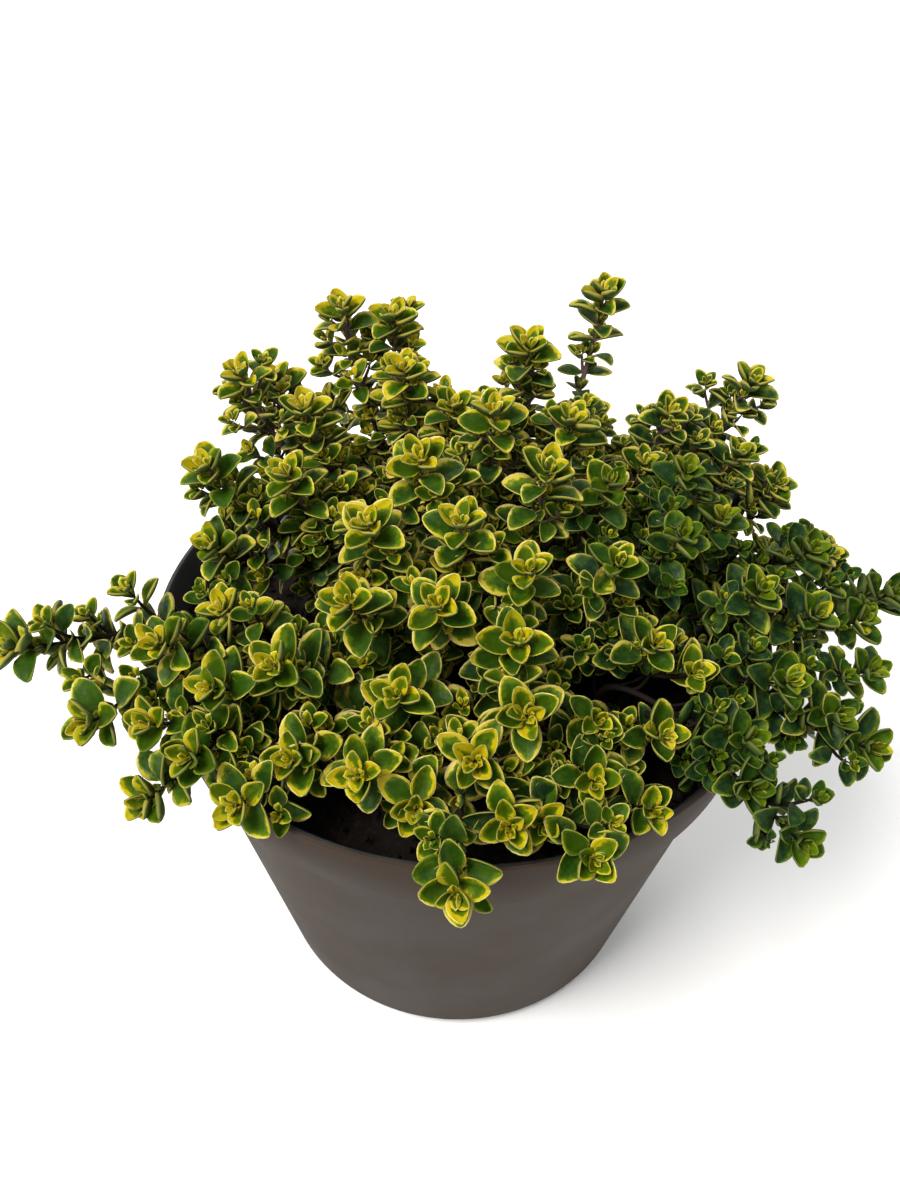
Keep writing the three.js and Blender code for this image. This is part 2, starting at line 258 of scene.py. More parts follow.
class PotSettings(bpy.types.PropertyGroup):
    height: FloatProperty(
        name="Height", description="From the foot to the rim", default=POT_BOX[1].z, unit="LENGTH")
    rim_radius: FloatProperty(
        name="Rim radius", description="Outside, at the top", default=POT_BOX[1].x, unit="LENGTH")
    foot_radius: FloatProperty(
        name="Foot radius", description="Outside, at the bottom", default=0.0425, unit="LENGTH")
    collar_height: FloatProperty(
        name="Collar height", description="Of the wider band", default=0.016, unit="LENGTH")
    collar_step: FloatProperty(
        name="Collar step", description="How far it stands out", default=0.0024, unit="LENGTH")
    collar_taper: FloatProperty(
        name="Collar taper", description="How far it widens upwards", default=0.0026, unit="LENGTH")
    wall: FloatProperty(
        name="Wall", description="Thickness of the plastic", default=0.0016, unit="LENGTH")
    floor: FloatProperty(
        name="Floor", description="Thickness of the bottom", default=0.0036, unit="LENGTH")
    sides: IntProperty(
        name="Sides", description="Faces round the pot", default=128, min=24)
    colour: FloatVectorProperty(
        name="Outside", description="Colour of the outer layer", subtype="COLOR",
        default=(0.035, 0.0228, 0.0152))
    inner_colour: FloatVectorProperty(
        name="Inside", description="Colour of the inner layer", subtype="COLOR",
        default=(0.0075, 0.007, 0.0065))


class CompostSettings(bpy.types.PropertyGroup):
    level: FloatProperty(
        name="Level", description="Mean height of the top", default=0.087, unit="LENGTH")
    gap: FloatProperty(
        name="Gap", description="Space to the pot's wall", default=0.0003, unit="LENGTH")
    facets: IntProperty(
        name="Facets", description="Cuts in each side of the hexagon for the top", default=79, min=1)
    crumbs: IntProperty(
        name="Crumbs", description="Loose crumbs on the top", default=1500, min=0)
    colour: FloatVectorProperty(
        name="Compost", description="Colour of the damp peat", subtype="COLOR",
        default=(0.0062, 0.0042, 0.0030))


class FoliageSettings(bpy.types.PropertyGroup):
    seed: IntProperty(name="Seed", description="Of every small difference", default=11)
    stem_foot: FloatProperty(
        name="Stem foot", description="Width of a stem in the compost", default=0.0017, unit="LENGTH")
    stem_tip: FloatProperty(
        name="Stem tip", description="Width of a stem at its tip", default=0.0008, unit="LENGTH")
    leaf_width: FloatProperty(
        name="Leaf width", description="As a share of its length", default=0.66, subtype="FACTOR")
    side_shoots: FloatProperty(
        name="Side shoots", description="Share of the leaf axils that grow one", default=0.62,
        subtype="FACTOR")
    young_green: FloatVectorProperty(
        name="Young green", description="Middle of a young leaf", subtype="COLOR",
        default=(0.080, 0.122, 0.001))
    grown_green: FloatVectorProperty(
        name="Grown green", description="Middle of a grown leaf", subtype="COLOR",
        default=(0.015, 0.049, 0.002))
    # The old leaves' dark green is partly their own colour and partly painted shade for their depth in
    # the foliage.
    old_shaded_green: FloatVectorProperty(
        name="Old green", description="Middle of an old leaf", subtype="COLOR",
        default=(0.007, 0.025, 0.010))
    margin_yellow: FloatVectorProperty(
        name="Yellow margin", description="Margin of a leaf", subtype="COLOR",
        default=(0.47, 0.41, 0.005))
    edge_cream: FloatVectorProperty(
        name="Cream edge", description="Outermost edge of a leaf", subtype="COLOR",
        default=(0.66, 0.58, 0.16))
    stem_colour: FloatVectorProperty(
        name="Stem", description="Colour of a stem", subtype="COLOR",
        default=(0.125, 0.080, 0.074))


class StageSettings(bpy.types.PropertyGroup):
    floor_size: FloatProperty(
        name="Floor", description="Side of the floor", default=6.0, unit="LENGTH")
    target: FloatVectorProperty(
        name="Aim", description="What the camera looks at", subtype="TRANSLATION", unit="LENGTH",
        default=(-0.0029, 0.0027, 0.0961))
    distance: FloatProperty(
        name="Distance", description="From the camera to its aim", default=0.2372, unit="LENGTH")
    elevation: FloatProperty(
        name="Elevation", description="Of the camera above the aim", subtype="ANGLE",
        default=math.radians(42.81))
    roll: FloatProperty(
        name="Roll", description="Turn of the picture", subtype="ANGLE",
        default=math.radians(1.18))
    lens: FloatProperty(
        name="Lens", description="Focal length in millimetres", default=33.0)


# Small tools for modelling by hand

def ramp(value, start, full):
    """How far a value is from a start to where it counts in full, from 0 to 1."""
    return min(1, max(0, (value - start) / (full - start)))


def shade(colour, amount):
    """A colour made darker or paler."""
    return tuple(channel * amount for channel in colour)


def start_piece():
    """Leaves edit mode and deselects everything, so that an operator acts on the new piece only."""
    if bpy.context.object and bpy.context.object.mode != "OBJECT":
        bpy.ops.object.mode_set(mode="OBJECT")
    bpy.ops.object.select_all(action="DESELECT")


def take(piece):
    """Makes a piece the only selected and the active one."""
    start_piece()
    piece.select_set(True)
    bpy.context.view_layer.objects.active = piece


def pick(piece, wanted):
    """In edit mode, selects the vertices whose place is wanted, with the edges and faces between."""
    mesh = bmesh.from_edit_mesh(piece.data)
    for vertex in mesh.verts:
        vertex.select_set(bool(wanted(vertex.co)))
    mesh.select_mode = {"VERT"}
    mesh.select_flush_mode()
    bmesh.update_edit_mesh(piece.data)


def edit_all():
    """Opens the active piece in edit mode, with all of it selected."""
    bpy.ops.object.mode_set(mode="EDIT")
    bpy.ops.mesh.select_all(action="SELECT")


def close_mesh():
    """In edit mode, turns all faces outwards, and goes back to object mode."""
    bpy.ops.mesh.select_all(action="SELECT")
    bpy.ops.mesh.normals_make_consistent(inside=False)
    bpy.ops.object.mode_set(mode="OBJECT")


def start_disc(name, sides, ring, fill):
    """Adds a filled circle, whose ring is its radius and height, and picks it in edit mode."""
    start_piece()
    radius, height = ring
    bpy.ops.mesh.primitive_circle_add(
        vertices=sides, radius=radius, fill_type=fill, location=(0, 0, height))
    piece = bpy.context.object
    piece.name = name
    edit_all()
    return piece


def draw_profile(rings):
    """Extrudes what is picked from ring to ring of a profile, each a radius and a height."""
    for (radius, height), (new_radius, new_height) in zip(rings, rings[1:]):
        bpy.ops.mesh.extrude_region_move(
            TRANSFORM_OT_translate={"value": (0, 0, new_height - height)})
        scale = new_radius / radius
        bpy.ops.transform.resize(value=(scale, scale, 1), center_override=(0, 0, new_height))


def use_modifier(piece, kind, **values):
    """Adds a modifier to a piece and applies it."""
    modifier = piece.modifiers.new(kind.title(), kind)
    for name, value in values.items():
        setattr(modifier, name, value)
    with bpy.context.temp_override(object=piece, active_object=piece):
        bpy.ops.object.modifier_apply(modifier=modifier.name)


def join_pieces(pieces, name):
    """Joins pieces into the first of them, under a name."""
    take(pieces[0])
    for piece in pieces:
        piece.select_set(True)
    if len(pieces) > 1:
        bpy.ops.object.join()
    pieces[0].name = name
    pieces[0].data.name = name
    return pieces[0]


def copy_of(model, place, tint=None):
    """A copy of a modelled piece with its own mesh, set in place, with its own tint."""
    mesh = model.data.copy()
    mesh.transform(place)
    if tint:
        mesh.attributes["tint"].data.foreach_set("color", [*tint] * len(mesh.vertices))
    copy = bpy.data.objects.new(model.name, mesh)
    bpy.context.scene.collection.objects.link(copy)
    return copy


def set_materials(piece, *materials):
    """Gives a piece its materials, in place of those it has."""
    piece.data.materials.clear()
    for material in materials:
        piece.data.materials.append(material)


def smooth_under(piece, degrees):
    """Shades a piece smooth, but for edges that turn by more than an angle."""
    take(piece)
    bpy.ops.object.shade_smooth_by_angle(angle=math.radians(degrees))


def remove_models(models):
    """Takes away the pieces that only served as models for copies."""
    for model in models:
        bpy.data.objects.remove(model)


def dress(piece, slot, *nodes):
    """Puts a finished piece on the body in place of its CAD nodes."""
    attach(piece, "root")
    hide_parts(*nodes)


# Materials

class Recipe:
    """A material being mixed: its nodes, and short ways to add and link them."""

    def __init__(self, name, **shader_values):
        self.material = bpy.data.materials.new(name)
        self.material.use_nodes = True
        self.nodes = self.material.node_tree.nodes
        self.links = self.material.node_tree.links
        self.shader = self.nodes["Principled BSDF"]
        for socket, value in shader_values.items():
            self.shader.inputs[socket.replace("_", " ")].default_value = value

    def node(self, kind, settings=None, **inputs):
        """Adds a node. A linked input is a socket, and any other is its value."""
        node = self.nodes.new(kind)
        for name, value in (settings or {}).items():
            setattr(node, name, value)
        for name, value in inputs.items():
            self.feed(node.inputs[name.replace("_", " ")], value)
        return node

    def feed(self, socket, value):
        if isinstance(value, bpy.types.NodeSocket):
            self.links.new(value, socket)
        elif socket.type == "RGBA":
            socket.default_value = (*value, 1)
        else:
            socket.default_value = value

    def maths(self, operation, *values):
        node = self.node("ShaderNodeMath", {"operation": operation})
        for socket, value in zip(node.inputs, values):
            self.feed(socket, value)
        return node.outputs[0]

    def times(self, first, second):
        return self.maths("MULTIPLY", first, second)

    def plus(self, first, second):
        return self.maths("ADD", first, second)

    def minus(self, first, second):
        return self.maths("SUBTRACT", first, second)

    def place(self):
        return self.node("ShaderNodeTexCoord").outputs["Object"]

    def noise(self, scale, detail, roughness=0.5):
        """A grain of a given number of features in a metre."""
        node = self.node("ShaderNodeTexNoise", Vector=self.place(), Scale=scale, Detail=detail,
                         Roughness=roughness)
        return node.outputs["Fac"]

    def wander(self, scale, detail, amount):
        """A grain that goes as far down as up."""
        return self.times(self.minus(self.noise(scale, detail), 0.5), amount)

    def step(self, value, low, high, to_low=0.0, to_high=1.0):
        """A soft step from one value to another."""
        settings = {"interpolation_type": "SMOOTHSTEP"}
        node = self.node("ShaderNodeMapRange", settings, Value=value, From_Min=low, From_Max=high,
                         To_Min=to_low, To_Max=to_high)
        return node.outputs["Result"]

    def blend(self, share, first, second):
        """A colour between two others."""
        node = self.node("ShaderNodeMix", {"data_type": "RGBA"})
        for number, value in ((0, share), (6, first), (7, second)):
            self.feed(node.inputs[number], value)
        return node.outputs[2]

    def bump(self, height, depth, strength):
        node = self.node("ShaderNodeBump", Height=height, Distance=depth, Strength=strength)
        self.feed(self.shader.inputs["Normal"], node.outputs["Normal"])

    def colour(self, value):
        self.feed(self.shader.inputs["Base Color"], value)

    def rough(self, value):
        self.feed(self.shader.inputs["Roughness"], value)


def outer_plastic(pot):
    """Matt taupe plastic, a little mottled, with a fine grain and a paler scuffed look."""
    mix = Recipe("outer_plastic", Specular_IOR_Level=0.10)
    cloud = mix.noise(38, 3)
    base = mix.blend(mix.step(cloud, 0.35, 0.68), shade(pot.colour, 0.86), shade(pot.colour, 1.14))
    dust = mix.step(mix.noise(900, 2), 0.60, 0.78, 0.0, 0.10)
    mix.colour(mix.blend(dust, base, (0.12, 0.105, 0.095)))
    mix.rough(mix.step(cloud, 0.3, 0.7, 0.54, 0.66))
    mix.bump(mix.noise(2600, 3), 0.00006, 0.35)
    return mix.material


def inner_plastic(pot):
    """The black inner layer of the pot, dusted with dried compost."""
    mix = Recipe("inner_plastic")
    smear = mix.step(mix.noise(130, 4, 0.6), 0.50, 0.80, 0.0, 0.5)
    mix.colour(mix.blend(smear, pot.inner_colour, (0.030, 0.022, 0.017)))
    mix.rough(mix.step(mix.noise(60, 2), 0.3, 0.7, 0.42, 0.65))
    mix.bump(mix.noise(1500, 3), 0.0001, 0.3)
    return mix.material


def damp_compost(compost):
    """Dark damp peat with browner fibres."""
    mix = Recipe("damp_compost", Specular_IOR_Level=0.12)
    fibres = mix.step(mix.noise(700, 5, 0.65), 0.48, 0.72)
    patch = mix.noise(120, 3)
    base = mix.blend(fibres, compost.colour, shade(compost.colour, 3.2))
    mix.colour(mix.blend(mix.step(patch, 0.45, 0.75, 0.0, 0.6), base, shade(compost.colour, 0.5)))
    mix.rough(mix.step(patch, 0.3, 0.7, 0.72, 0.98))
    mix.bump(mix.noise(1400, 5, 0.7), 0.0006, 0.8)
    return mix.material


def leaf_map(mix):
    """What a leaf's material reads: its place along and off the rib, its age, yellow and own number.

    The leaf's UV map runs along it and across it. The last three are the colours of its tint. On the
    plant's right side the age is raised and the own number cut, as painted shade.
    """
    uv = mix.node("ShaderNodeSeparateXYZ", Vector=mix.node("ShaderNodeUVMap").outputs["UV"])
    off_rib = mix.times(mix.maths("ABSOLUTE", mix.minus(uv.outputs["Y"], 0.5)), 2.0)
    tint_node = mix.node("ShaderNodeAttribute", {"attribute_name": "tint"})
    tint = mix.node("ShaderNodeSeparateColor", Color=tint_node.outputs["Color"])
    return uv.outputs["X"], off_rib, *tint.outputs


def leaf_upper(foliage):
    """A leaf's upper side: green in the middle, yellow round it, and cream or tan on the very edge."""
    mix = Recipe("leaf_upper", Specular_IOR_Level=0.13, Subsurface_Weight=0.10,
                 Subsurface_Radius=(0.0009, 0.0012, 0.0003), Subsurface_Scale=1.0)
    along, off_rib, age, yellow, own = leaf_map(mix)
    to_tip = mix.maths("MAXIMUM", mix.times(mix.minus(along, 0.48), 2.0), 0.0)
    outness = mix.maths("SQRT", mix.plus(mix.times(off_rib, off_rib), mix.times(to_tip, to_tip)))
    ragged = mix.plus(mix.plus(outness, mix.wander(250, 1, 1.5)), mix.wander(1000, 2, 0.55))
    share = mix.plus(mix.times(yellow, 0.48), mix.step(age, 0.0, 0.5, 0.40, 0.0))
    past = mix.minus(ragged, mix.minus(1.0, share))

    fresh, bright, lime = (0.042, 0.098, 0.002), (0.058, 0.118, 0.003), (0.110, 0.172, 0.003)
    # Green darkens with age down the stem: partly the leaves' own colour, partly painted shade for the
    # depth of the foliage.
    green = mix.blend(mix.step(age, 0.0, 0.5), foliage.young_green, foliage.grown_green)
    green = mix.blend(mix.step(age, 0.5, 1.0), green, foliage.old_shaded_green)
    # The own number's fresh green is cut on the plant's right side, as painted shade.
    green = mix.blend(mix.step(own, 0.0, 1.0, 0.0, 0.45), green, fresh)
    green = mix.blend(mix.step(mix.noise(700, 3), 0.40, 0.68, 0.0, 0.40), green, bright)
    lime_share = mix.times(mix.step(past, -0.40, -0.02, 0.0, 0.9), mix.step(yellow, 0.0, 0.4, 0.6, 1.0))
    blade = mix.blend(lime_share, green, lime)

    gold, green_gold, tan = (0.50, 0.36, 0.006), (0.150, 0.225, 0.004), (0.52, 0.36, 0.18)
    margin = mix.blend(mix.noise(620, 2), foliage.margin_yellow, gold)
    margin = mix.blend(mix.step(age, 0.3, 1.0, 0.0, 0.45), margin, foliage.edge_cream)
    margin = mix.blend(mix.step(yellow, 0.05, 0.40, 0.75, 0.0), margin, green_gold)
    margin_share = mix.times(mix.step(past, -0.06, 0.12), mix.step(yellow, 0.0, 0.3, 0.2, 1.0))
    blade = mix.blend(margin_share, blade, margin)

    rim = mix.blend(mix.step(age, 0.25, 0.9), foliage.edge_cream, tan)
    broken = mix.times(mix.step(past, -0.34, 0.06, 0.12, 1.0), mix.step(yellow, 0.10, 0.50, 0.05, 1.0))
    mix.colour(mix.blend(mix.times(mix.step(outness, 0.87, 0.96), broken), blade, rim))
    mix.rough(mix.step(mix.noise(800, 2), 0.3, 0.7, 0.38, 0.55))
    rib = mix.step(off_rib, 0.0, 0.16, 0.0, 0.6)
    mix.bump(mix.plus(mix.noise(1500, 3), rib), 0.00018, 0.5)
    return mix.material


def leaf_under():
    """A leaf's underside: matt grey-green, with the pale edge showing through."""
    mix = Recipe("leaf_under", Roughness=0.65, Specular_IOR_Level=0.2)
    _, off_rib, _, yellow, _ = leaf_map(mix)
    veiny = mix.step(mix.noise(420, 3), 0.35, 0.7)
    green = mix.blend(veiny, (0.035, 0.062, 0.010), (0.065, 0.100, 0.018))
    edge = mix.step(mix.plus(off_rib, mix.wander(330, 2, 0.4)), 0.55, 0.88, 0.0, 0.9)
    edge = mix.times(edge, mix.step(yellow, 0.05, 0.40, 0.2, 1.0))
    mix.colour(mix.blend(edge, green, (0.36, 0.31, 0.05)))
    mix.bump(mix.noise(1500, 2), 0.0001, 0.4)
    return mix.material


def stem_skin(foliage):
    """A stem: purplish and downy near the tips, and dark and woody at the foot, where its near black is
    partly painted shade under the leaves.
    """
    mix = Recipe("stem_skin", Roughness=0.7, Specular_IOR_Level=0.1)
    height = mix.node("ShaderNodeSeparateXYZ", Vector=mix.place()).outputs["Z"]
    upper_unshaded = mix.step(height, 0.112, 0.134)
    # Below this height the stems go near black: partly bark, partly painted shade low in the plant.
    base = mix.blend(upper_unshaded, (0.009, 0.006, 0.0045), foliage.stem_colour)
    mossy = mix.times(mix.step(mix.noise(160, 2), 0.45, 0.70, 0.0, 0.4), upper_unshaded)
    green = mix.blend(mossy, base, (0.07, 0.075, 0.025))
    streak = mix.times(mix.step(mix.noise(1300, 3), 0.45, 0.75, 0.03, 0.25), upper_unshaded)
    mix.colour(mix.blend(streak, green, (0.16, 0.12, 0.10)))
    mix.bump(mix.noise(2400, 3), 0.0001, 0.5)
    return mix.material


def pale_floor():
    """A plain, nearly white floor."""
    mix = Recipe("pale_floor", Roughness=0.8)
    mix.colour(mix.blend(mix.noise(3, 2), (0.90, 0.90, 0.90), (0.93, 0.93, 0.925)))
    return mix.material


# The pot

# The underside: a middle pad and a foot ring, with a raised channel between for the drain holes.
PAD_RADIUS = 14 * MM
CHANNEL_SLOPE = 2 * MM
CHANNEL_HEIGHT = 2 * MM
FOOT_RING_WIDTH = 6.5 * MM
DRAIN_HOLES = 8
DRAIN_RING_RADIUS = 25 * MM
DRAIN_HOLE_RADIUS = 3.5 * MM


def collar_foot(pot):
    """The radius of the pot's body just under its collar, and the height there."""
    return pot.rim_radius - pot.collar_step - pot.collar_taper, pot.height - pot.collar_height


def inner_wall(pot):
    """The pot's inside as rings, from the rim down to the floor."""
    radius, height = collar_foot(pot)
    return [
        (pot.rim_radius - pot.wall, pot.height),
        (radius + pot.collar_step - pot.wall, height + 0.0014),
        (radius - pot.wall, height - 0.0010),
        (pot.foot_radius + 0.0012, pot.floor),
    ]


def pot_profile(pot):
    """The pot's outline as rings, from the middle pad out, up to the rim and in to the floor."""
    radius, height = collar_foot(pot)
    collar_radius = radius + pot.collar_step
    rim, top, foot = pot.rim_radius, pot.height, pot.foot_radius
    return [
        (PAD_RADIUS, 0.0),
        (PAD_RADIUS + CHANNEL_SLOPE, CHANNEL_HEIGHT),
        (foot - FOOT_RING_WIDTH - CHANNEL_SLOPE, CHANNEL_HEIGHT),
        (foot - FOOT_RING_WIDTH, 0.0),
        (foot - 0.0006, 0.0),
        (foot + 0.0006, 0.0005),
        (foot + 0.0030, 0.0030),
        (radius - 0.0001, height - 0.0014),
        (radius + 0.0004, height - 0.0009),
        (collar_radius - 0.0004, height + 0.0001),
        (collar_radius, height + 0.0008),
        (rim, top - 0.0006),
        (rim - 0.0001, top - 0.0003),
        (rim - 0.0004, top),
        (rim - 0.0010, top),
        (rim - pot.wall, top - 0.0006),
        *inner_wall(pot)[1:],
    ]


def model_pot(pot):
    """Draws the pot out of a disc, ring by ring, so that its wall has both its sides."""
    rings = pot_profile(pot)
    piece = start_disc("nursery_pot", pot.sides, rings[0], "NGON")
    draw_profile(rings)
    close_mesh()
    return piece


def cut_drain_holes(piece, pot):
    """Cuts round holes through the raised channel of the floor."""
    start_piece()
    cutters = []
    for i in range(DRAIN_HOLES):
        turn = 2 * math.pi * (i + 0.5) / DRAIN_HOLES
        place = (DRAIN_RING_RADIUS * math.cos(turn), DRAIN_RING_RADIUS * math.sin(turn), pot.floor / 2)
        bpy.ops.mesh.primitive_cylinder_add(
            vertices=28, radius=DRAIN_HOLE_RADIUS, depth=2 * pot.floor, location=place)
        cutters.append(bpy.context.object)
    cutter = join_pieces(cutters, "drain_cutter")
    use_modifier(piece, "BOOLEAN", operation="DIFFERENCE", object=cutter, solver="EXACT")
    remove_models([cutter])


def finish_pot(piece, pot):
    """Gives the inside its black layer, and shades the walls round and the steps crisp."""
    set_materials(piece, outer_plastic(pot), inner_plastic(pot))
    top_inner = pot.rim_radius - pot.wall
    for face in piece.data.polygons:
        middle = face.center
        out = Vector((middle.x, middle.y, 0))
        faces_in = face.normal.dot(out) < 0 or face.normal.z > 0.7
        share = middle.z / pot.height
        wall = pot.foot_radius * (1 - share) + top_inner * share
        inner = faces_in and middle.z > pot.floor - 0.0002 and out.length < wall + 0.0010
        face.material_index = 1 if inner else 0
    smooth_under(piece, 38)


class THYME_OT_pot(bpy.types.Operator):
    """Model the nursery pot with its collar, lip, foot and drain holes"""
    bl_idname = "thyme.pot"
    bl_label = "Pot"

    def execute(self, context):
        pot = context.scene.thyme_pot
        piece = model_pot(pot)
        cut_drain_holes(piece, pot)
        finish_pot(piece, pot)
        dress(piece, "pot", "pot")
        return {"FINISHED"}


# The compost

# Places this near to an edge or a height count as on it.
NEAR = 0.1 * MM
# How far out its top is crumbled, and how fast that fades there.
CRUMBLE_REACH = 61 * MM
CRUMBLE_FADE = 18
# The swells and hollows of the top: the size of each grain, and how much it lifts.
CRUMBLE_GRAINS = ((6.0 * MM, 2.6 * MM), (2.0 * MM, 2.2 * MM))
# Crumbs, lumps and splinters of bark: name, size, stretch, roundness, and how often each lies there.
CRUMB_KINDS = [
    ("crumb", 1.5 * MM, (1, 0.8, 0.8), 1, 8),
    ("lump", 3.0 * MM, (1.1, 0.9, 0.7), 2, 3),
    ("splinter", 4.4 * MM, (1, 0.26, 0.22), 1, 1),
]
# How far they stay off the wall, and the ranges of their lift, tilt and scale.
CRUMB_MARGIN = 2.2 * MM
CRUMB_LIFTS = (0.2 * MM, 1.3 * MM)
CRUMB_TILTS = (-0.5, 0.5)
CRUMB_SCALES = (0.6, 1.3)


def relief(x, y):
    """The swell of the compost's top, as in the part's source."""
    x, y = x / MM, y / MM
    swell = math.sin(0.17 * x + 1.3) * math.cos(0.15 * y - 0.4)
    return 0.9 * MM * (0.6 * swell + 0.4 * math.sin(0.37 * x + 0.29 * y))


def compost_radius(pot, compost, height):
    """How far the compost reaches at a height, just clear of the pot's inner wall."""
    wall = inner_wall(pot)[::-1]
    for (low_radius, low), (high_radius, high) in zip(wall, wall[1:]):
        if height <= high:
            share = (height - low) / (high - low)
            return low_radius + share * (high_radius - low_radius) - compost.gap
    return high_radius - compost.gap


def model_compost(pot, compost):
    """A hexagon of fine facets, rounded to the top's disc, with a wall drawn down to the floor."""
    collar_heights = [height for _, height in inner_wall(pot)[1:3]]
    heights = [compost.level, *collar_heights, pot.floor + compost.gap]
    rings = [(compost_radius(pot, compost, height), height) for height in heights]
    piece = start_disc("potting_compost", 6, rings[0], "TRIFAN")
    bpy.ops.mesh.subdivide(number_cuts=compost.facets)
    mesh = bmesh.from_edit_mesh(piece.data)
    for vertex in mesh.verts:
        turn = math.atan2(vertex.co.x, vertex.co.y) % (math.pi / 3) - math.pi / 6
        vertex.co.xy *= math.cos(turn) / math.cos(math.pi / 6)
    bmesh.update_edit_mesh(piece.data)
    pick(piece, lambda place: place.xy.length > rings[0][0] - NEAR)
    draw_profile(rings)
    bpy.ops.mesh.edge_face_add()
    close_mesh()
    return piece


def roughen_compost(piece, compost):
    """Swells the top as the source does, and crumbles it."""
    top = piece.vertex_groups.new(name="top")
    for vertex in piece.data.vertices:
        if vertex.co.z > compost.level - NEAR:
            vertex.co.z += relief(vertex.co.x, vertex.co.y)
            reach = vertex.co.xy.length / CRUMBLE_REACH
            top.add([vertex.index], ramp((1 - reach) * CRUMBLE_FADE, 0, 1), "REPLACE")
    for scale, strength in CRUMBLE_GRAINS:
        texture = bpy.data.textures.new("crumble", "CLOUDS")
        texture.noise_scale = scale
        texture.noise_depth = 3
        use_modifier(piece, "DISPLACE", texture=texture, strength=strength, mid_level=0.5,
                     direction="Z", vertex_group="top")
        bpy.data.textures.remove(texture)


def model_crumb(name, size, stretch, rounds, seed):
    """A lump with knocked-in corners."""
    start_piece()
    bpy.ops.mesh.primitive_ico_sphere_add(subdivisions=rounds, radius=size / 2)
    piece = bpy.context.object
    piece.name = name
    edit_all()
    bpy.ops.transform.vertex_random(offset=size * 0.16, seed=seed)
    bpy.ops.transform.resize(value=stretch, center_override=(0, 0, 0))
    bpy.ops.object.mode_set(mode="OBJECT")
    return piece


def scatter_crumbs(pot, compost, seed):
    """Crumbs, lumps and splinters of bark lying on the compost."""
    chance = random.Random(seed)
    models = [model_crumb(*kind[:4], number) for number, kind in enumerate(CRUMB_KINDS, 1)]
    shares = [kind[4] for kind in CRUMB_KINDS]
    reach = compost_radius(pot, compost, compost.level) - CRUMB_MARGIN
    crumbs = []
    for _ in range(compost.crumbs):
        model = chance.choices(models, shares)[0]
        radius = reach * math.sqrt(chance.random())
        turn = chance.uniform(0, 2 * math.pi)
        x, y = radius * math.cos(turn), radius * math.sin(turn)
        height = compost.level + relief(x, y) + chance.uniform(*CRUMB_LIFTS)
        tilt = Quaternion((1, 0, 0), chance.uniform(*CRUMB_TILTS))
        spin = Quaternion(UP, chance.uniform(0, 2 * math.pi))
        size = Matrix.Scale(chance.uniform(*CRUMB_SCALES), 4)
        turned = (spin @ tilt).to_matrix().to_4x4()
        crumbs.append(copy_of(model, Matrix.Translation((x, y, height)) @ turned @ size))
    remove_models(models)
    return crumbs


class THYME_OT_compost(bpy.types.Operator):
    """Model the compost with its crumbled top"""
    bl_idname = "thyme.compost"
    bl_label = "Compost"

    def execute(self, context):
        pot, compost = context.scene.thyme_pot, context.scene.thyme_compost
        piece = model_compost(pot, compost)
        roughen_compost(piece, compost)
        crumbs = scatter_crumbs(pot, compost, context.scene.thyme_foliage.seed)
        piece = join_pieces([piece, *crumbs], "potting_compost")
        set_materials(piece, damp_compost(compost))
        smooth_under(piece, 50)
        dress(piece, "compost", "compost")
        return {"FINISHED"}


# The stems' lines

def first_side(way, turn):
    """A side across a direction, at a turn, starting from the axis that it follows least."""
    least = min(range(3), key=lambda axis: (abs(way[axis]), -axis))
    axis = Vector((0, 0, 0))
    axis[least] = 1
    normal = way.cross(way.cross(axis).normalized())
    return normal * math.cos(turn) + way.cross(normal) * math.sin(turn)


def shoot_through(points, turn):
    """A shoot along points, whose side is carried along it without twisting."""
    spans = [after - before for before, after in zip(points, points[1:])]
    ways = [span.normalized() for span in spans]
    ways.append(ways[-1])
    sides = [first_side(ways[0], turn)]
    for before, after in zip(ways, ways[1:]):
        sides.append((before.rotation_difference(after) @ sides[-1]).normalized())
    return Shoot(points, ways, sides, sum(span.length for span in spans))


def station_on(shoot, below):
    """The place so far below a shoot's tip. Above the tip it lies straight on."""
    left = below
    i = len(shoot.points) - 1
    while i > 1 and left > (shoot.points[i] - shoot.points[i - 1]).length:
        left -= (shoot.points[i] - shoot.points[i - 1]).length
        i -= 1
    span = shoot.points[i - 1] - shoot.points[i]
    share = left / span.length
    way = shoot.ways[i - 1]
    side = shoot.sides[i].lerp(shoot.sides[i - 1], ramp(share, 0, 1))
    side = (side - way * side.dot(way)).normalized()
    return Station(shoot.points[i] + span * share, way, side)


def tip_way(start, tip, lean):
    """The direction in which a tip points, leaning away from its start."""
    away = Vector((tip.x - start.x, tip.y - start.y, 0)).normalized()
    return away * math.sin(lean) + UP * math.cos(lean)


def curve_points(start, start_pull, end_pull, end):
    """Places a line step apart on the curve from a start to an end."""
    steps = max(4, math.ceil((end - start).length / LINE_STEP))
    return geometry.interpolate_bezier(start, start_pull, end_pull, end, steps + 1)


def backness(row):
    """How far a tip is to the back of the plant, from 0 to 1."""
    return ramp(row[1], -8, 22)


def tip_place(row):
    """Where a tip is, once the tallest are set a little lower."""
    return Vector(row[:3]) * MM - UP * TIP_DROP * ramp(row[2], 138, 146)


def main_shoot(row, turn):
    """A stem: straight up out of the compost, and then bending over to its tip."""
    tip = tip_place(row)
    stand = CROWN.lerp(tip, ROOT_SPREAD)
    stand.z = CROWN.z + STEM_STAND
    foot = Vector((stand.x, stand.y, CROWN.z - ROOT_DEPTH))
    out = (tip - stand).xy.length
    rise = CLIMB_PULL * max(0, tip.z - stand.z) + REACH_PULL * out
    reach = STEM_PULL * (tip - stand).length
    end_pull = tip - tip_way(stand, tip, math.radians(row[3])) * reach
    bend = curve_points(stand, stand + UP * rise, end_pull, tip)
    straight = [foot.lerp(stand, i / 4) for i in range(4)]
    return shoot_through(straight + bend, turn)


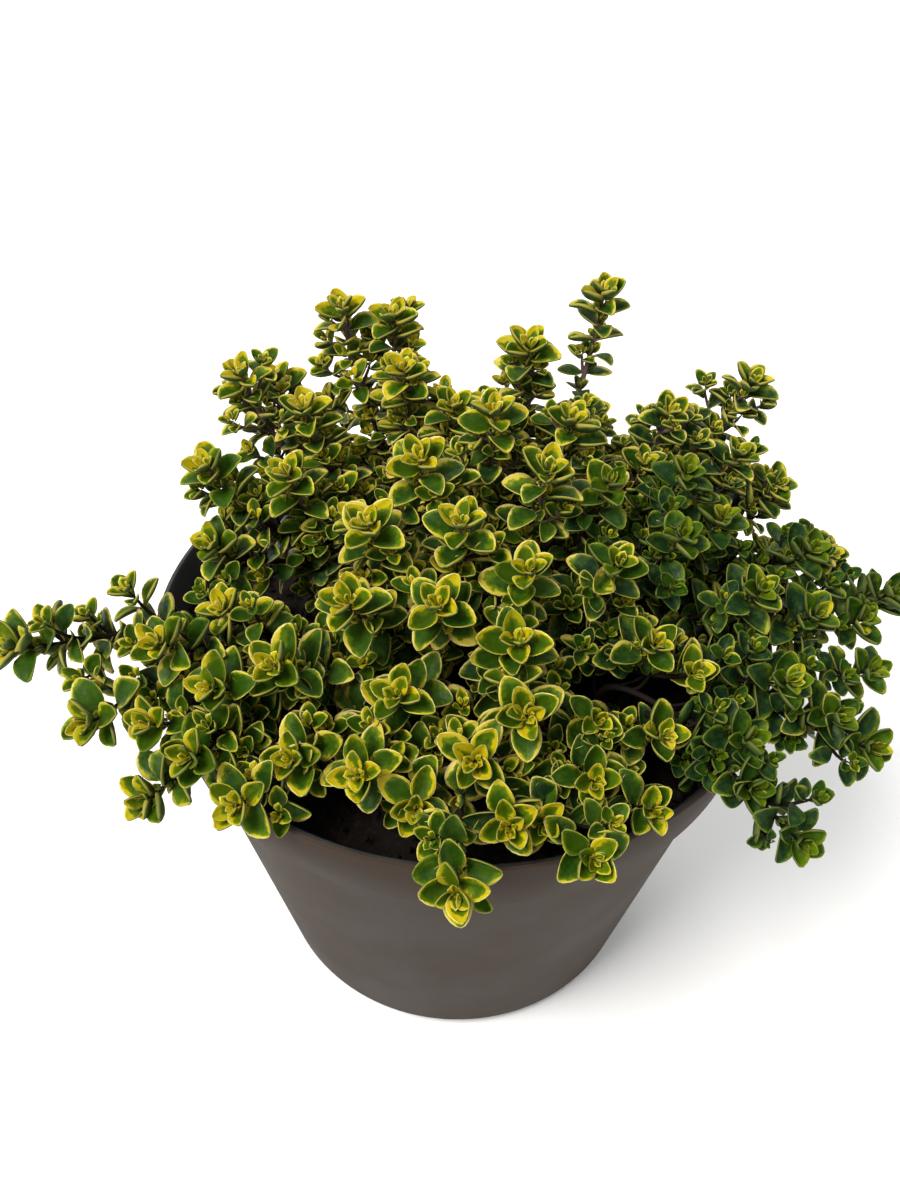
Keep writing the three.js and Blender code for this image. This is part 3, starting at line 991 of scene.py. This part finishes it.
def branch_shoot(stem, row, turn):
    """A side branch, which opens out of its stem on the way to its tip."""
    fork = station_on(stem, (1 - FORK_SHARE) * stem.length)
    tip = tip_place(row)
    leaving = ((tip - fork.point).normalized() + fork.way).normalized()
    reach = BRANCH_PULL * (tip - fork.point).length
    end_pull = tip - tip_way(fork.point, tip, math.radians(row[3])) * reach
    return shoot_through(curve_points(fork.point, fork.point + leaving * reach, end_pull, tip), turn)


def mixed_way(outward, way, shares):
    """A direction mixed of outwards, the stem's way and up, in given shares."""
    return (outward * shares[0] + way * shares[1] + UP * shares[2]).normalized()


def side_shoot(station, turn, length, spread, leaf_turn):
    """A short shoot out of a leaf axil, which turns up towards the light."""
    outward = Quaternion(station.way, turn) @ station.side
    start = station.point + outward * LEAF_START
    heading = mixed_way(outward, station.way, (spread, *SIDE_SHOOT_RISE))
    tip = start + heading * length
    rising = mixed_way(outward, station.way, SIDE_TIP_WAY)
    leaving = mixed_way(outward, station.way, SIDE_FOOT_WAY)
    points = geometry.interpolate_bezier(
        start, start + leaving * 0.4 * length, tip - rising * 0.35 * length, tip, 6)
    return shoot_through(points, leaf_turn)


# The leaves

# A leaf's outline: its places along the rib, and its half width there, as shares.
FULL_OUTLINE = [(0.0, 0.12), (0.09, 0.38), (0.23, 0.76), (0.39, 0.98), (0.56, 1.0),
                (0.72, 0.87), (0.86, 0.62), (0.955, 0.32), (1.0, 0.0)]
SMALL_OUTLINE = [(0.0, 0.14), (0.20, 0.70), (0.48, 1.0), (0.76, 0.80), (1.0, 0.0)]
# The leaves that all others are copied from: kind, outline, rows, rise, cup, rib and thickness.
LEAF_MODELS = [
    ("young", SMALL_OUTLINE, 2, [0, -0.01, 0.01, 0.07, 0.17], 0.20, 0.03, 0.10),
    ("cupped", FULL_OUTLINE, 4, [0, 0, 0, 0.01, 0.03, 0.07, 0.13, 0.18, 0.20], 0.29, 0.03, 0.055),
    ("cupped", FULL_OUTLINE, 4, [0, 0.01, 0.01, 0.02, 0.03, 0.06, 0.09, 0.12, 0.13], 0.25, 0.02, 0.055),
    ("grown", FULL_OUTLINE, 4, [0, 0.02, 0.05, 0.07, 0.08, 0.08, 0.07, 0.06, 0.06], 0.19, 0.025, 0.05),
    ("grown", FULL_OUTLINE, 4, [0, 0.03, 0.07, 0.10, 0.11, 0.10, 0.07, 0.04, 0.02], 0.13, 0.03, 0.05),
    ("grown", FULL_OUTLINE, 4, [0, 0.01, 0.02, 0.03, 0.05, 0.08, 0.12, 0.15, 0.17], 0.24, 0.02, 0.05),
    ("old", FULL_OUTLINE, 2, [0, 0.04, 0.09, 0.12, 0.12, 0.08, 0.02, -0.03, -0.05], 0.05, 0.03, 0.05),
    ("old", FULL_OUTLINE, 2, [0, 0.03, 0.07, 0.10, 0.10, 0.08, 0.05, 0.02, 0.01], -0.03, 0.02, 0.05),
]
# The grid that a leaf is drawn from runs from -0.5 to 0.5. Past this, a place is on its edge.
GRID_EDGE = 0.49
# This near to one of the grid's lines, a place is on it.
GRID_NEAR = 0.01
# The lines between the rib and the edges: where they are, how far they go outwards, and how much of
# the cup they have.
BETWEEN = 0.25
BETWEEN_OUT = 0.10
BETWEEN_CUP = 0.42


def model_leaf(name, skins, outline, rows, rise, cup, rib, thickness):
    """One leaf, 1 long and 1 wide: a sheet drawn to its outline, cupped, bent and thickened.

    The rise is its middle's height at each place of the outline, the cup is how far its edges
    are raised, and the rib is how far its middle is pressed in.
    """
    start_piece()
    steps = len(outline) - 1
    bpy.ops.mesh.primitive_grid_add(
        x_subdivisions=steps, y_subdivisions=rows, size=1, location=(0, 0, 0))
    piece = bpy.context.object
    piece.name = name
    set_materials(piece, *skins)
    blade = piece.vertex_groups.new(name="blade")
    inside = [v.index for v in piece.data.vertices if abs(v.co.y) < GRID_EDGE and v.co.x < GRID_EDGE]
    blade.add(inside, 1, "REPLACE")
    bpy.ops.object.mode_set(mode="EDIT")
    for side in (-1, 1) if rows == 4 else ():
        pick(piece, lambda place: abs(place.y - side * BETWEEN) < GRID_NEAR)
        bpy.ops.transform.translate(value=(0, side * BETWEEN_OUT, cup * BETWEEN_CUP))
    pick(piece, lambda place: abs(place.y) > GRID_EDGE)
    bpy.ops.transform.translate(value=(0, 0, cup))
    pick(piece, lambda place: abs(place.y) < GRID_NEAR)
    bpy.ops.transform.translate(value=(0, 0, -rib))
    for i in reversed(range(steps + 1)):
        along, half_width = outline[i]
        at = i / steps - 0.5
        pick(piece, lambda place: abs(place.x - at) < GRID_NEAR)
        bpy.ops.transform.resize(value=(1, half_width, half_width), center_override=(at, 0, 0))
        bpy.ops.transform.translate(value=(along - at, 0, rise[i]))
    bpy.ops.object.mode_set(mode="OBJECT")
    use_modifier(piece, "SOLIDIFY", thickness=thickness, offset=-1, use_rim=False,
                 vertex_group="blade", thickness_vertex_group=0, material_offset=1)
    take(piece)
    edit_all()
    bpy.ops.mesh.remove_doubles(threshold=0.0005)
    close_mesh()
    bpy.ops.object.shade_smooth()
    piece.vertex_groups.clear()
    piece.data.attributes.new("tint", "FLOAT_COLOR", "POINT")
    return piece


def model_leaves(skins):
    """Models the leaves that all others are copied from, by kind."""
    models = {}
    for kind, *shape in LEAF_MODELS:
        models.setdefault(kind, []).append(model_leaf(f"{kind}_leaf", skins, *shape))
    return models


def leaf_place(station, turn, opening, size, lean_to_light, wobble):
    """Where a leaf stands: out of its station to one side, opened, and leaning to the light."""
    turn += wobble[0]
    opening += wobble[1]
    outward = Quaternion(station.way, turn) @ station.side
    along = outward * math.sin(opening) + station.way * math.cos(opening)
    upper = station.way * math.sin(opening) - outward * math.cos(opening)
    light = Quaternion().slerp(upper.rotation_difference(LIGHT), lean_to_light)
    roll = light @ Quaternion(along, wobble[2])
    along, upper = roll @ along, roll @ upper
    width = upper.cross(along)
    length, breadth = size
    start = station.point + outward * LEAF_START
    place = Matrix.Translation(start) @ Matrix((along, width, upper)).transposed().to_4x4()
    return place @ Matrix.Diagonal((length, breadth, length, 1))


def is_crossed(to_blade, start, end):
    """Whether a straight line passes through the leaf whose own coordinates the matrix gives."""
    first, last = to_blade @ start, to_blade @ end
    if (first.z - BLADE_RISE) * (last.z - BLADE_RISE) >= 0:
        return False
    at = first.lerp(last, (first.z - BLADE_RISE) / (first.z - last.z))
    return ((at.x - BLADE_MIDDLE) / BLADE_HALF_LENGTH) ** 2 + (at.y / BLADE_HALF_WIDTH) ** 2 < 1


class Blades:
    """The leaves set so far, by their place, so that nothing new passes through one of them."""

    def __init__(self):
        self.cells = {}

    def cell(self, point):
        return tuple(math.floor(value / BLADE_CELL) for value in point)

    def add(self, places):
        """Keeps each leaf's middle, the way into its own coordinates, and its rib."""
        for place in places:
            middle = place @ LEAF_MIDDLE
            rib = (place.translation.copy(), place @ LEAF_TIP)
            leaf = (middle, place.inverted(), rib)
            self.cells.setdefault(self.cell(middle), []).append(leaf)

    def near(self, point):
        """The leaves in the cell of a place and in those round it."""
        sides = ((value - 1, value, value + 1) for value in self.cell(point))
        for near_cell in product(*sides):
            yield from self.cells.get(near_cell, ())

    def leave_way(self, start, ends):
        """Whether straight lines from a start to its ends meet none of the leaves."""
        middle = start.lerp(ends[0], 0.5)
        reach = (ends[0] - start).length / 2 + BLADE_CELL / 2
        for other, to_blade, _ in self.near(middle):
            if (other - middle).length > reach:
                continue
            if any(is_crossed(to_blade, start, end) for end in ends):
                return False
        return True

    def leave_room(self, place):
        """Whether a new leaf's rib and margins meet no leaf, and no leaf's rib meets the new leaf."""
        ends = [place @ end for end in (LEAF_TIP, *LEAF_MARGINS)]
        if not self.leave_way(place.translation, ends):
            return False
        to_blade = place.inverted()
        ribs = (rib for _, _, rib in self.near(place @ LEAF_MIDDLE))
        return not any(is_crossed(to_blade, *rib) for rib in ribs)


def is_clear_of_pot(place, pot):
    """Whether a leaf's middle and tip are out of the pot's wall and above the compost."""
    for along in (0.5, 1.0):
        point = place @ Vector((along, 0, 0))
        inward = pot.rim_radius - point.xy.length
        if inward > INSIDE_POT and point.z < COMPOST_BOX[1].z + LEAF_OVER_COMPOST:
            return False
        if abs(inward - RIM_MIDDLE) < RIM_HALF_WIDTH and point.z < pot.height + LEAF_OVER_RIM:
            return False
        if 0 < inward < WALL_REACH and point.z < WALL_TOP:
            return False
    return True


def is_in_gap(point):
    """Whether a place lies in the slanting gap through which the photo looks down to the compost."""
    height = (point.z - GAP_FOOT.z) / (GAP_TOP.z - GAP_FOOT.z)
    if not -0.1 < height < 1.1:
        return False
    middle = GAP_FOOT.lerp(GAP_TOP, height)
    return ((point.x - middle.x) / GAP_WIDTH) ** 2 + ((point.y - middle.y) / GAP_DEPTH) ** 2 < 0.25


class Grower:
    """Grows one leafy stem: its lines, its leaves, and then what stands in their axils."""

    def __init__(self, number, row, foliage, pot, models, blades):
        self.foliage, self.pot, self.models, self.blades = foliage, pot, models, blades
        self.chance = chance = random.Random(foliage.seed * 1000 + number)
        turn = number * GOLDEN_ANGLE
        self.shoots = [main_shoot(row[0], turn)]
        if len(row) > 1:
            self.shoots.append(branch_shoot(self.shoots[0], row[1], turn + GOLDEN_ANGLE / 2))
        tip = row[0]
        back = backness(tip)
        rightness = ramp(tip[0], 10, 45)
        slenderness = ramp(tip[2], 148, 154)
        self.yellow = yellowness(tip, chance)
        # Painted shade on the plant's right side, away from the key light: its leaves are aged further,
        # so darker, with less fresh green and less spread in yellow.
        self.painted_shade = 0.9 * rightness
        self.size = (1.0 - 0.10 * back) * (1 - 0.10 * rightness) * chance.uniform(0.95, 1.06)
        self.spacing = 1 - 0.30 * back
        self.bud_size = 3.2 + 0.9 * back
        self.side_share = foliage.side_shoots * (1 + back) * (1 - 0.7 * slenderness)
        self.first_side_shoot = 8 - 3 * back
        self.spread = 0.55 - 0.20 * back
        self.axils = []
        self.side_shoots = []
        self.new_places = []
        self.leaves = []

    def leaf(self, station, turn, length, opening, kind, age, lean_to_light=0.34, may_fail=False):
        """Sets a leaf, unless it would meet the pot or lie in the open gap.

        A big leaf that would meet another closes or opens a little, and one that may fail is left
        out where that doesn't help.
        """
        chance = self.chance
        length *= self.size * chance.uniform(0.91, 1.07)
        breadth = length * self.foliage.leaf_width * chance.uniform(0.92, 1.08)
        wobble = [math.radians(chance.gauss(0, spread)) for spread in WOBBLES]
        yellow = min(1, max(0, self.yellow + chance.gauss(0, 0.15) * (1 - self.painted_shade / 2)))
        model = chance.choice(self.models[kind])
        # Painted shade: on the right side the own number, and so the fresh green, is cut.
        own = chance.random() * (1 - self.painted_shade * 0.8)

        def closed_by(angle):
            """The leaf's place when it closes by an angle in degrees."""
            return leaf_place(station, turn, opening - math.radians(angle), (length, breadth),
                              lean_to_light, wobble)

        place = closed_by(0)
        if may_fail or kind in ("grown", "old"):
            free = (tried for tried in map(closed_by, CLOSINGS) if self.blades.leave_room(tried))
            place = next(free, None if may_fail else place)
        if place is None or not is_clear_of_pot(place, self.pot) or is_in_gap(place @ LEAF_MIDDLE):
            return
        self.new_places.append(place)
        # Painted shade: the age is raised on the right side, so that the leaves there are darker.
        self.leaves.append((model, place, (min(1, age * (1 + self.painted_shade)), yellow, own, 1)))

    def pair(self, shoot, pair, turn, age, scale=1.0, may_fail=False):
        """Sets a pair of leaves, and gives back their station."""
        station = self.turned(station_on(shoot, pair.below * MM * self.spacing), pair.below)
        for half_turn in (0, math.pi):
            self.leaf(station, turn + half_turn, pair.length * MM * scale,
                      math.radians(pair.opening), pair.kind, age, may_fail=may_fail)
        return station

    def close_batch(self):
        """Adds the leaves of a finished shoot to those that nothing may pass through."""
        self.blades.add(self.new_places)
        self.new_places = []

    def turned(self, station, below):
        """A station near a tip, turned towards the light, so that the rosette there faces it."""
        share = 0.42 * ramp(below, 9, 3)
        turn = Quaternion().slerp(station.way.rotation_difference(LIGHT), share)
        return Station(station.point, turn @ station.way, turn @ station.side)

    def leaf_out(self):
        """Leaves the stem and its branch from their tips down, and notes the axils."""
        for shoot in self.shoots:
            pairs = [*TIP_PAIRS, *old_pairs(shoot, self.spacing)]
            for number, pair in enumerate(pairs):
                if pair.below * MM * self.spacing > shoot.length - PAIR_OVER_FOOT:
                    break
                turn = (number - LEVEL_PAIR) * math.pi / 2
                age = ramp(number, 1.9, 8.4)
                station = self.pair(shoot, pair, turn, age)
                if pair.below > 2.5:
                    room = pair.below - pairs[number - 2].below
                    self.axils += [(station, turn, pair.below, room),
                                   (station, turn + math.pi, pair.below, room)]
            self.close_batch()

    def fill_axils(self):
        """Grows a side shoot out of some axils, and a bud in the others, where there is room."""
        chance = self.chance
        for station, turn, below, room in self.axils:
            grows = below > self.first_side_shoot and chance.random() < self.side_share
            length = chance.uniform(*SIDE_SHOOT_LENGTHS) * MM * min(1, 0.4 + below / 20)
            leaf_turn = chance.uniform(0, 2 * math.pi)
            size = min(self.bud_size * chance.uniform(0.75, 1.25), 0.62 * room) * MM
            grows = grows and station.point.z > LOWEST_SIDE_SHOOT
            shoot = self.free_side_shoot(station, turn, length, leaf_turn) if grows else None
            if shoot:
                self.side_shoots.append(shoot)
                self.leaf_out_side(shoot)
            else:
                self.bud(station, turn, size)
            self.close_batch()

    def free_side_shoot(self, station, turn, length, leaf_turn):
        """A side shoot that passes through no leaf, or a wider or shorter one, or none."""
        for share, wider in product(SIDE_SHOOT_SHARES, SIDE_SHOOT_SPREADS):
            shoot = side_shoot(station, turn, length * share, self.spread + wider, leaf_turn)
            end = shoot.points[-1] + shoot.ways[-1] * ROSETTE_ROOM
            if self.blades.leave_way(shoot.points[1], [end]) and not is_in_gap(end):
                return shoot
        return None

    def leaf_out_side(self, shoot):
        """Leaves a side shoot from its tip down."""
        scale = self.chance.uniform(0.82, 1.0)
        for number, pair in enumerate(SIDE_PAIRS):
            if pair.below * MM > shoot.length - SIDE_PAIR_OVER_FOOT:
                break
            age = min(1, number / 6)
            self.pair(shoot, pair, number * math.pi / 2, age, scale, may_fail=True)

    def bud(self, station, turn, size):
        """The tiny shoot in a leaf's axil: a few yellow leaves held close together."""
        outward = Quaternion(station.way, turn) @ station.side
        way = mixed_way(outward, station.way, BUD_WAY)
        side = way.cross(station.way).normalized()
        start = (outward * BUD_START[0] + station.way * BUD_START[1]) * MM
        foot = Station(station.point + start, way, side)
        for share in BUD_SHARES:
            spread = side * size * share * 0.5
            end = foot.point + way * size * share * BUD_END
            if self.blades.leave_way(foot.point, [end, end + spread, end - spread]):
                break
        else:
            return
        size *= share
        tall = Station(foot.point + way * size * 0.25, way, way.cross(side))
        for station, length, opening, age in ((foot, size, 27, 0.05), (tall, size * 0.62, 14, 0.0)):
            for half_turn in (0, math.pi):
                self.leaf(station, half_turn, length, math.radians(opening), "young", age, 0,
                          may_fail=True)

    def finish(self, skin, name):
        """Joins the stems and leaves into one piece."""
        foliage = self.foliage
        widths = [(foliage.stem_foot, foliage.stem_tip), (foliage.stem_tip * 1.5, foliage.stem_tip)]
        widths = widths[:len(self.shoots)]
        widths += [(foliage.stem_tip * 0.9, foliage.stem_tip * 0.6)] * len(self.side_shoots)
        tube = tube_through(self.shoots + self.side_shoots, widths, skin)
        return join_pieces([tube, *(copy_of(*leaf) for leaf in self.leaves)], name)


def old_pairs(shoot, spacing):
    """The pairs below those near the tip, down to the foot of a shoot."""
    below = TIP_PAIRS[-1].below + OLD_PAIR_STEP
    while below * MM * spacing < shoot.length - OLD_PAIR_OVER_FOOT:
        yield LeafPair(below, OLD_PAIR_LENGTH, OLD_PAIR_OPENING, "old")
        below += OLD_PAIR_STEP


def tube_through(shoots, widths, skin):
    """Square, round-cornered stems through shoots, each thinning to its tip."""
    start_piece()
    section = bpy.data.curves.new("stem_section", "CURVE")
    outline = section.splines.new("POLY")
    outline.points.add(len(STEM_SECTION) - 1)
    for point, corner in zip(outline.points, STEM_SECTION):
        point.co = (*corner, 0, 1)
    outline.use_cyclic_u = True
    section_piece = bpy.data.objects.new("stem_section", section)
    curve = bpy.data.curves.new("stems", "CURVE")
    curve.dimensions = "3D"
    curve.bevel_mode = "OBJECT"
    curve.bevel_object = section_piece
    curve.use_fill_caps = True
    for shoot, (foot_width, tip_width) in zip(shoots, widths):
        spline = curve.splines.new("POLY")
        last = len(shoot.points) - 1
        spline.points.add(last)
        for i, (point, place) in enumerate(zip(spline.points, shoot.points)):
            point.co = (*place, 1)
            point.radius = (foot_width + (tip_width - foot_width) * i / last) / (6 if i == last else 2)
    piece = bpy.data.objects.new("stems", curve)
    bpy.context.scene.collection.objects.link(piece)
    take(piece)
    bpy.ops.object.convert(target="MESH")
    set_materials(piece, skin)
    bpy.ops.object.shade_smooth()
    bpy.data.objects.remove(section_piece)
    return piece


def yellowness(tip, chance):
    """How much yellow a stem's leaves have: most in the middle, and least at the right. The fall to the
    right is partly the leaves' own colouring and partly painted shade, and the rise to the back partly
    painted light.
    """
    rightness = ramp(tip[0], 8, 43)
    leftness = ramp(-tip[0], 25, 55)
    back = ramp(tip[1], 5, 35)
    # The right term is partly painted shade, and the back term partly painted light.
    share = 0.55 - 0.47 * rightness * (1 - 0.5 * back) - 0.25 * leftness + 0.28 * back
    return min(0.8, max(0.03, share + chance.gauss(0, 0.07)))


class THYME_OT_foliage(bpy.types.Operator):
    """Grow the leafy stems, each with its side branch, side shoots, buds and leaves"""
    bl_idname = "thyme.foliage"
    bl_label = "Leafy stems"

    def execute(self, context):
        foliage, pot = context.scene.thyme_foliage, context.scene.thyme_pot
        skins = [leaf_upper(foliage), leaf_under()]
        models = model_leaves(skins)
        skin = stem_skin(foliage)
        blades = Blades()
        growers = [Grower(number, row, foliage, pot, models, blades) for number, row in enumerate(STEMS)]
        for grower in growers:
            grower.leaf_out()
        for grower in growers:
            grower.fill_axils()
        for number, grower in enumerate(growers, 1):
            piece = grower.finish(skin, f"thyme_stem_{number:02d}")
            dress(piece, "foliage", f"leafy_stem_{number:02d}")
        remove_models([model for kind in models.values() for model in kind])
        return {"FINISHED"}


# The stage

# How far the floor lies under the foot, so that their faces don't lie in one plane.
FLOOR_DROP = 0.2 * MM
# The lamps: name, the side that they shine from, softness in degrees, strength and colour.
LAMPS = [
    ("key_light", (-0.62, -0.40, 1.0), 32, 3.75, (1.0, 0.985, 0.95)),
    ("fill_light", (0.9, -0.5, 0.8), 60, 0.4, (0.95, 0.98, 1.0)),
    ("back_light", (-0.2, 0.9, 0.8), 45, 0.9, (1.0, 0.99, 0.95)),
]
# The sky's strength from the horizon to this height of the view, and above it.
SKY_FADE = (("From Min", 0.0), ("From Max", 0.35), ("To Min", 1.0), ("To Max", 0.52))


def add_sun(name, towards, spread, strength, colour):
    """A far, soft light, from the direction given."""
    bpy.ops.object.light_add(type="SUN", location=Vector(towards))
    lamp = bpy.context.object
    lamp.name = name
    lamp.data.angle = math.radians(spread)
    lamp.data.energy = strength
    lamp.data.color = colour
    lamp.rotation_euler = (-Vector(towards)).to_track_quat("-Z", "Y").to_euler()


def add_sky():
    """A plain pale sky, brightest at the horizon, where it meets the floor."""
    world = bpy.data.worlds.new("soft_sky")
    world.use_nodes = True
    nodes, links = world.node_tree.nodes, world.node_tree.links
    height = nodes.new("ShaderNodeSeparateXYZ")
    links.new(nodes.new("ShaderNodeTexCoord").outputs["Generated"], height.inputs[0])
    fade = nodes.new("ShaderNodeMapRange")
    fade.interpolation_type = "SMOOTHSTEP"
    for name, value in SKY_FADE:
        fade.inputs[name].default_value = value
    links.new(height.outputs["Z"], fade.inputs["Value"])
    sky = nodes["Background"]
    sky.inputs["Color"].default_value = (1.0, 1.0, 1.0, 1.0)
    links.new(fade.outputs["Result"], sky.inputs["Strength"])
    bpy.context.scene.world = world


def add_camera(stage):
    """The camera, where the photographer stood."""
    back = Vector((0, -math.cos(stage.elevation), math.sin(stage.elevation)))
    right = Vector((1, 0, 0))
    upward = back.cross(right)
    turn = Matrix((right, upward, back)).transposed() @ Matrix.Rotation(stage.roll, 3, "Z")
    bpy.ops.object.camera_add()
    camera = bpy.context.object
    stand = Vector(stage.target) + back * stage.distance
    camera.matrix_world = Matrix.Translation(stand) @ turn.to_4x4()
    camera.data.lens = stage.lens
    camera.data.sensor_width = 36
    camera.data.clip_start = 0.01
    bpy.context.scene.camera = camera


class THYME_OT_stage(bpy.types.Operator):
    """Lay the pale floor, and set the soft lights and the camera"""
    bl_idname = "thyme.stage"
    bl_label = "Stage"

    def execute(self, context):
        stage = context.scene.thyme_stage
        start_piece()
        bpy.ops.mesh.primitive_plane_add(size=stage.floor_size, location=(0, 0, -FLOOR_DROP))
        floor = bpy.context.object
        floor.name = "studio_floor"
        set_materials(floor, pale_floor())
        for lamp in LAMPS:
            add_sun(*lamp)
        add_sky()
        context.scene.view_settings.view_transform = "Standard"
        add_camera(stage)
        return {"FINISHED"}


class THYME_PT_parts(bpy.types.Panel):
    """The steps that build the potted thyme"""
    bl_idname = "THYME_PT_parts"
    bl_label = "Potted Thyme"
    bl_space_type = "VIEW_3D"
    bl_region_type = "UI"
    bl_category = "Thyme"

    def draw(self, context):
        for operator in OPERATORS:
            self.layout.operator(operator.bl_idname, text=operator.bl_label)


SETTINGS = {
    "thyme_pot": PotSettings,
    "thyme_compost": CompostSettings,
    "thyme_foliage": FoliageSettings,
    "thyme_stage": StageSettings,
}
OPERATORS = [THYME_OT_pot, THYME_OT_compost, THYME_OT_foliage, THYME_OT_stage]


def register():
    for settings in SETTINGS.values():
        bpy.utils.register_class(settings)
    for name, settings in SETTINGS.items():
        setattr(bpy.types.Scene, name, PointerProperty(type=settings))
    for operator in OPERATORS:
        bpy.utils.register_class(operator)
    bpy.utils.register_class(THYME_PT_parts)


def unregister():
    bpy.utils.unregister_class(THYME_PT_parts)
    for operator in reversed(OPERATORS):
        bpy.utils.unregister_class(operator)
    for name in SETTINGS:
        delattr(bpy.types.Scene, name)
    for settings in SETTINGS.values():
        bpy.utils.unregister_class(settings)


def main():
    register()
    bpy.ops.thyme.pot()
    bpy.ops.thyme.compost()
    bpy.ops.thyme.foliage()
    bpy.ops.thyme.stage()


if __name__ == "__main__":
    main()
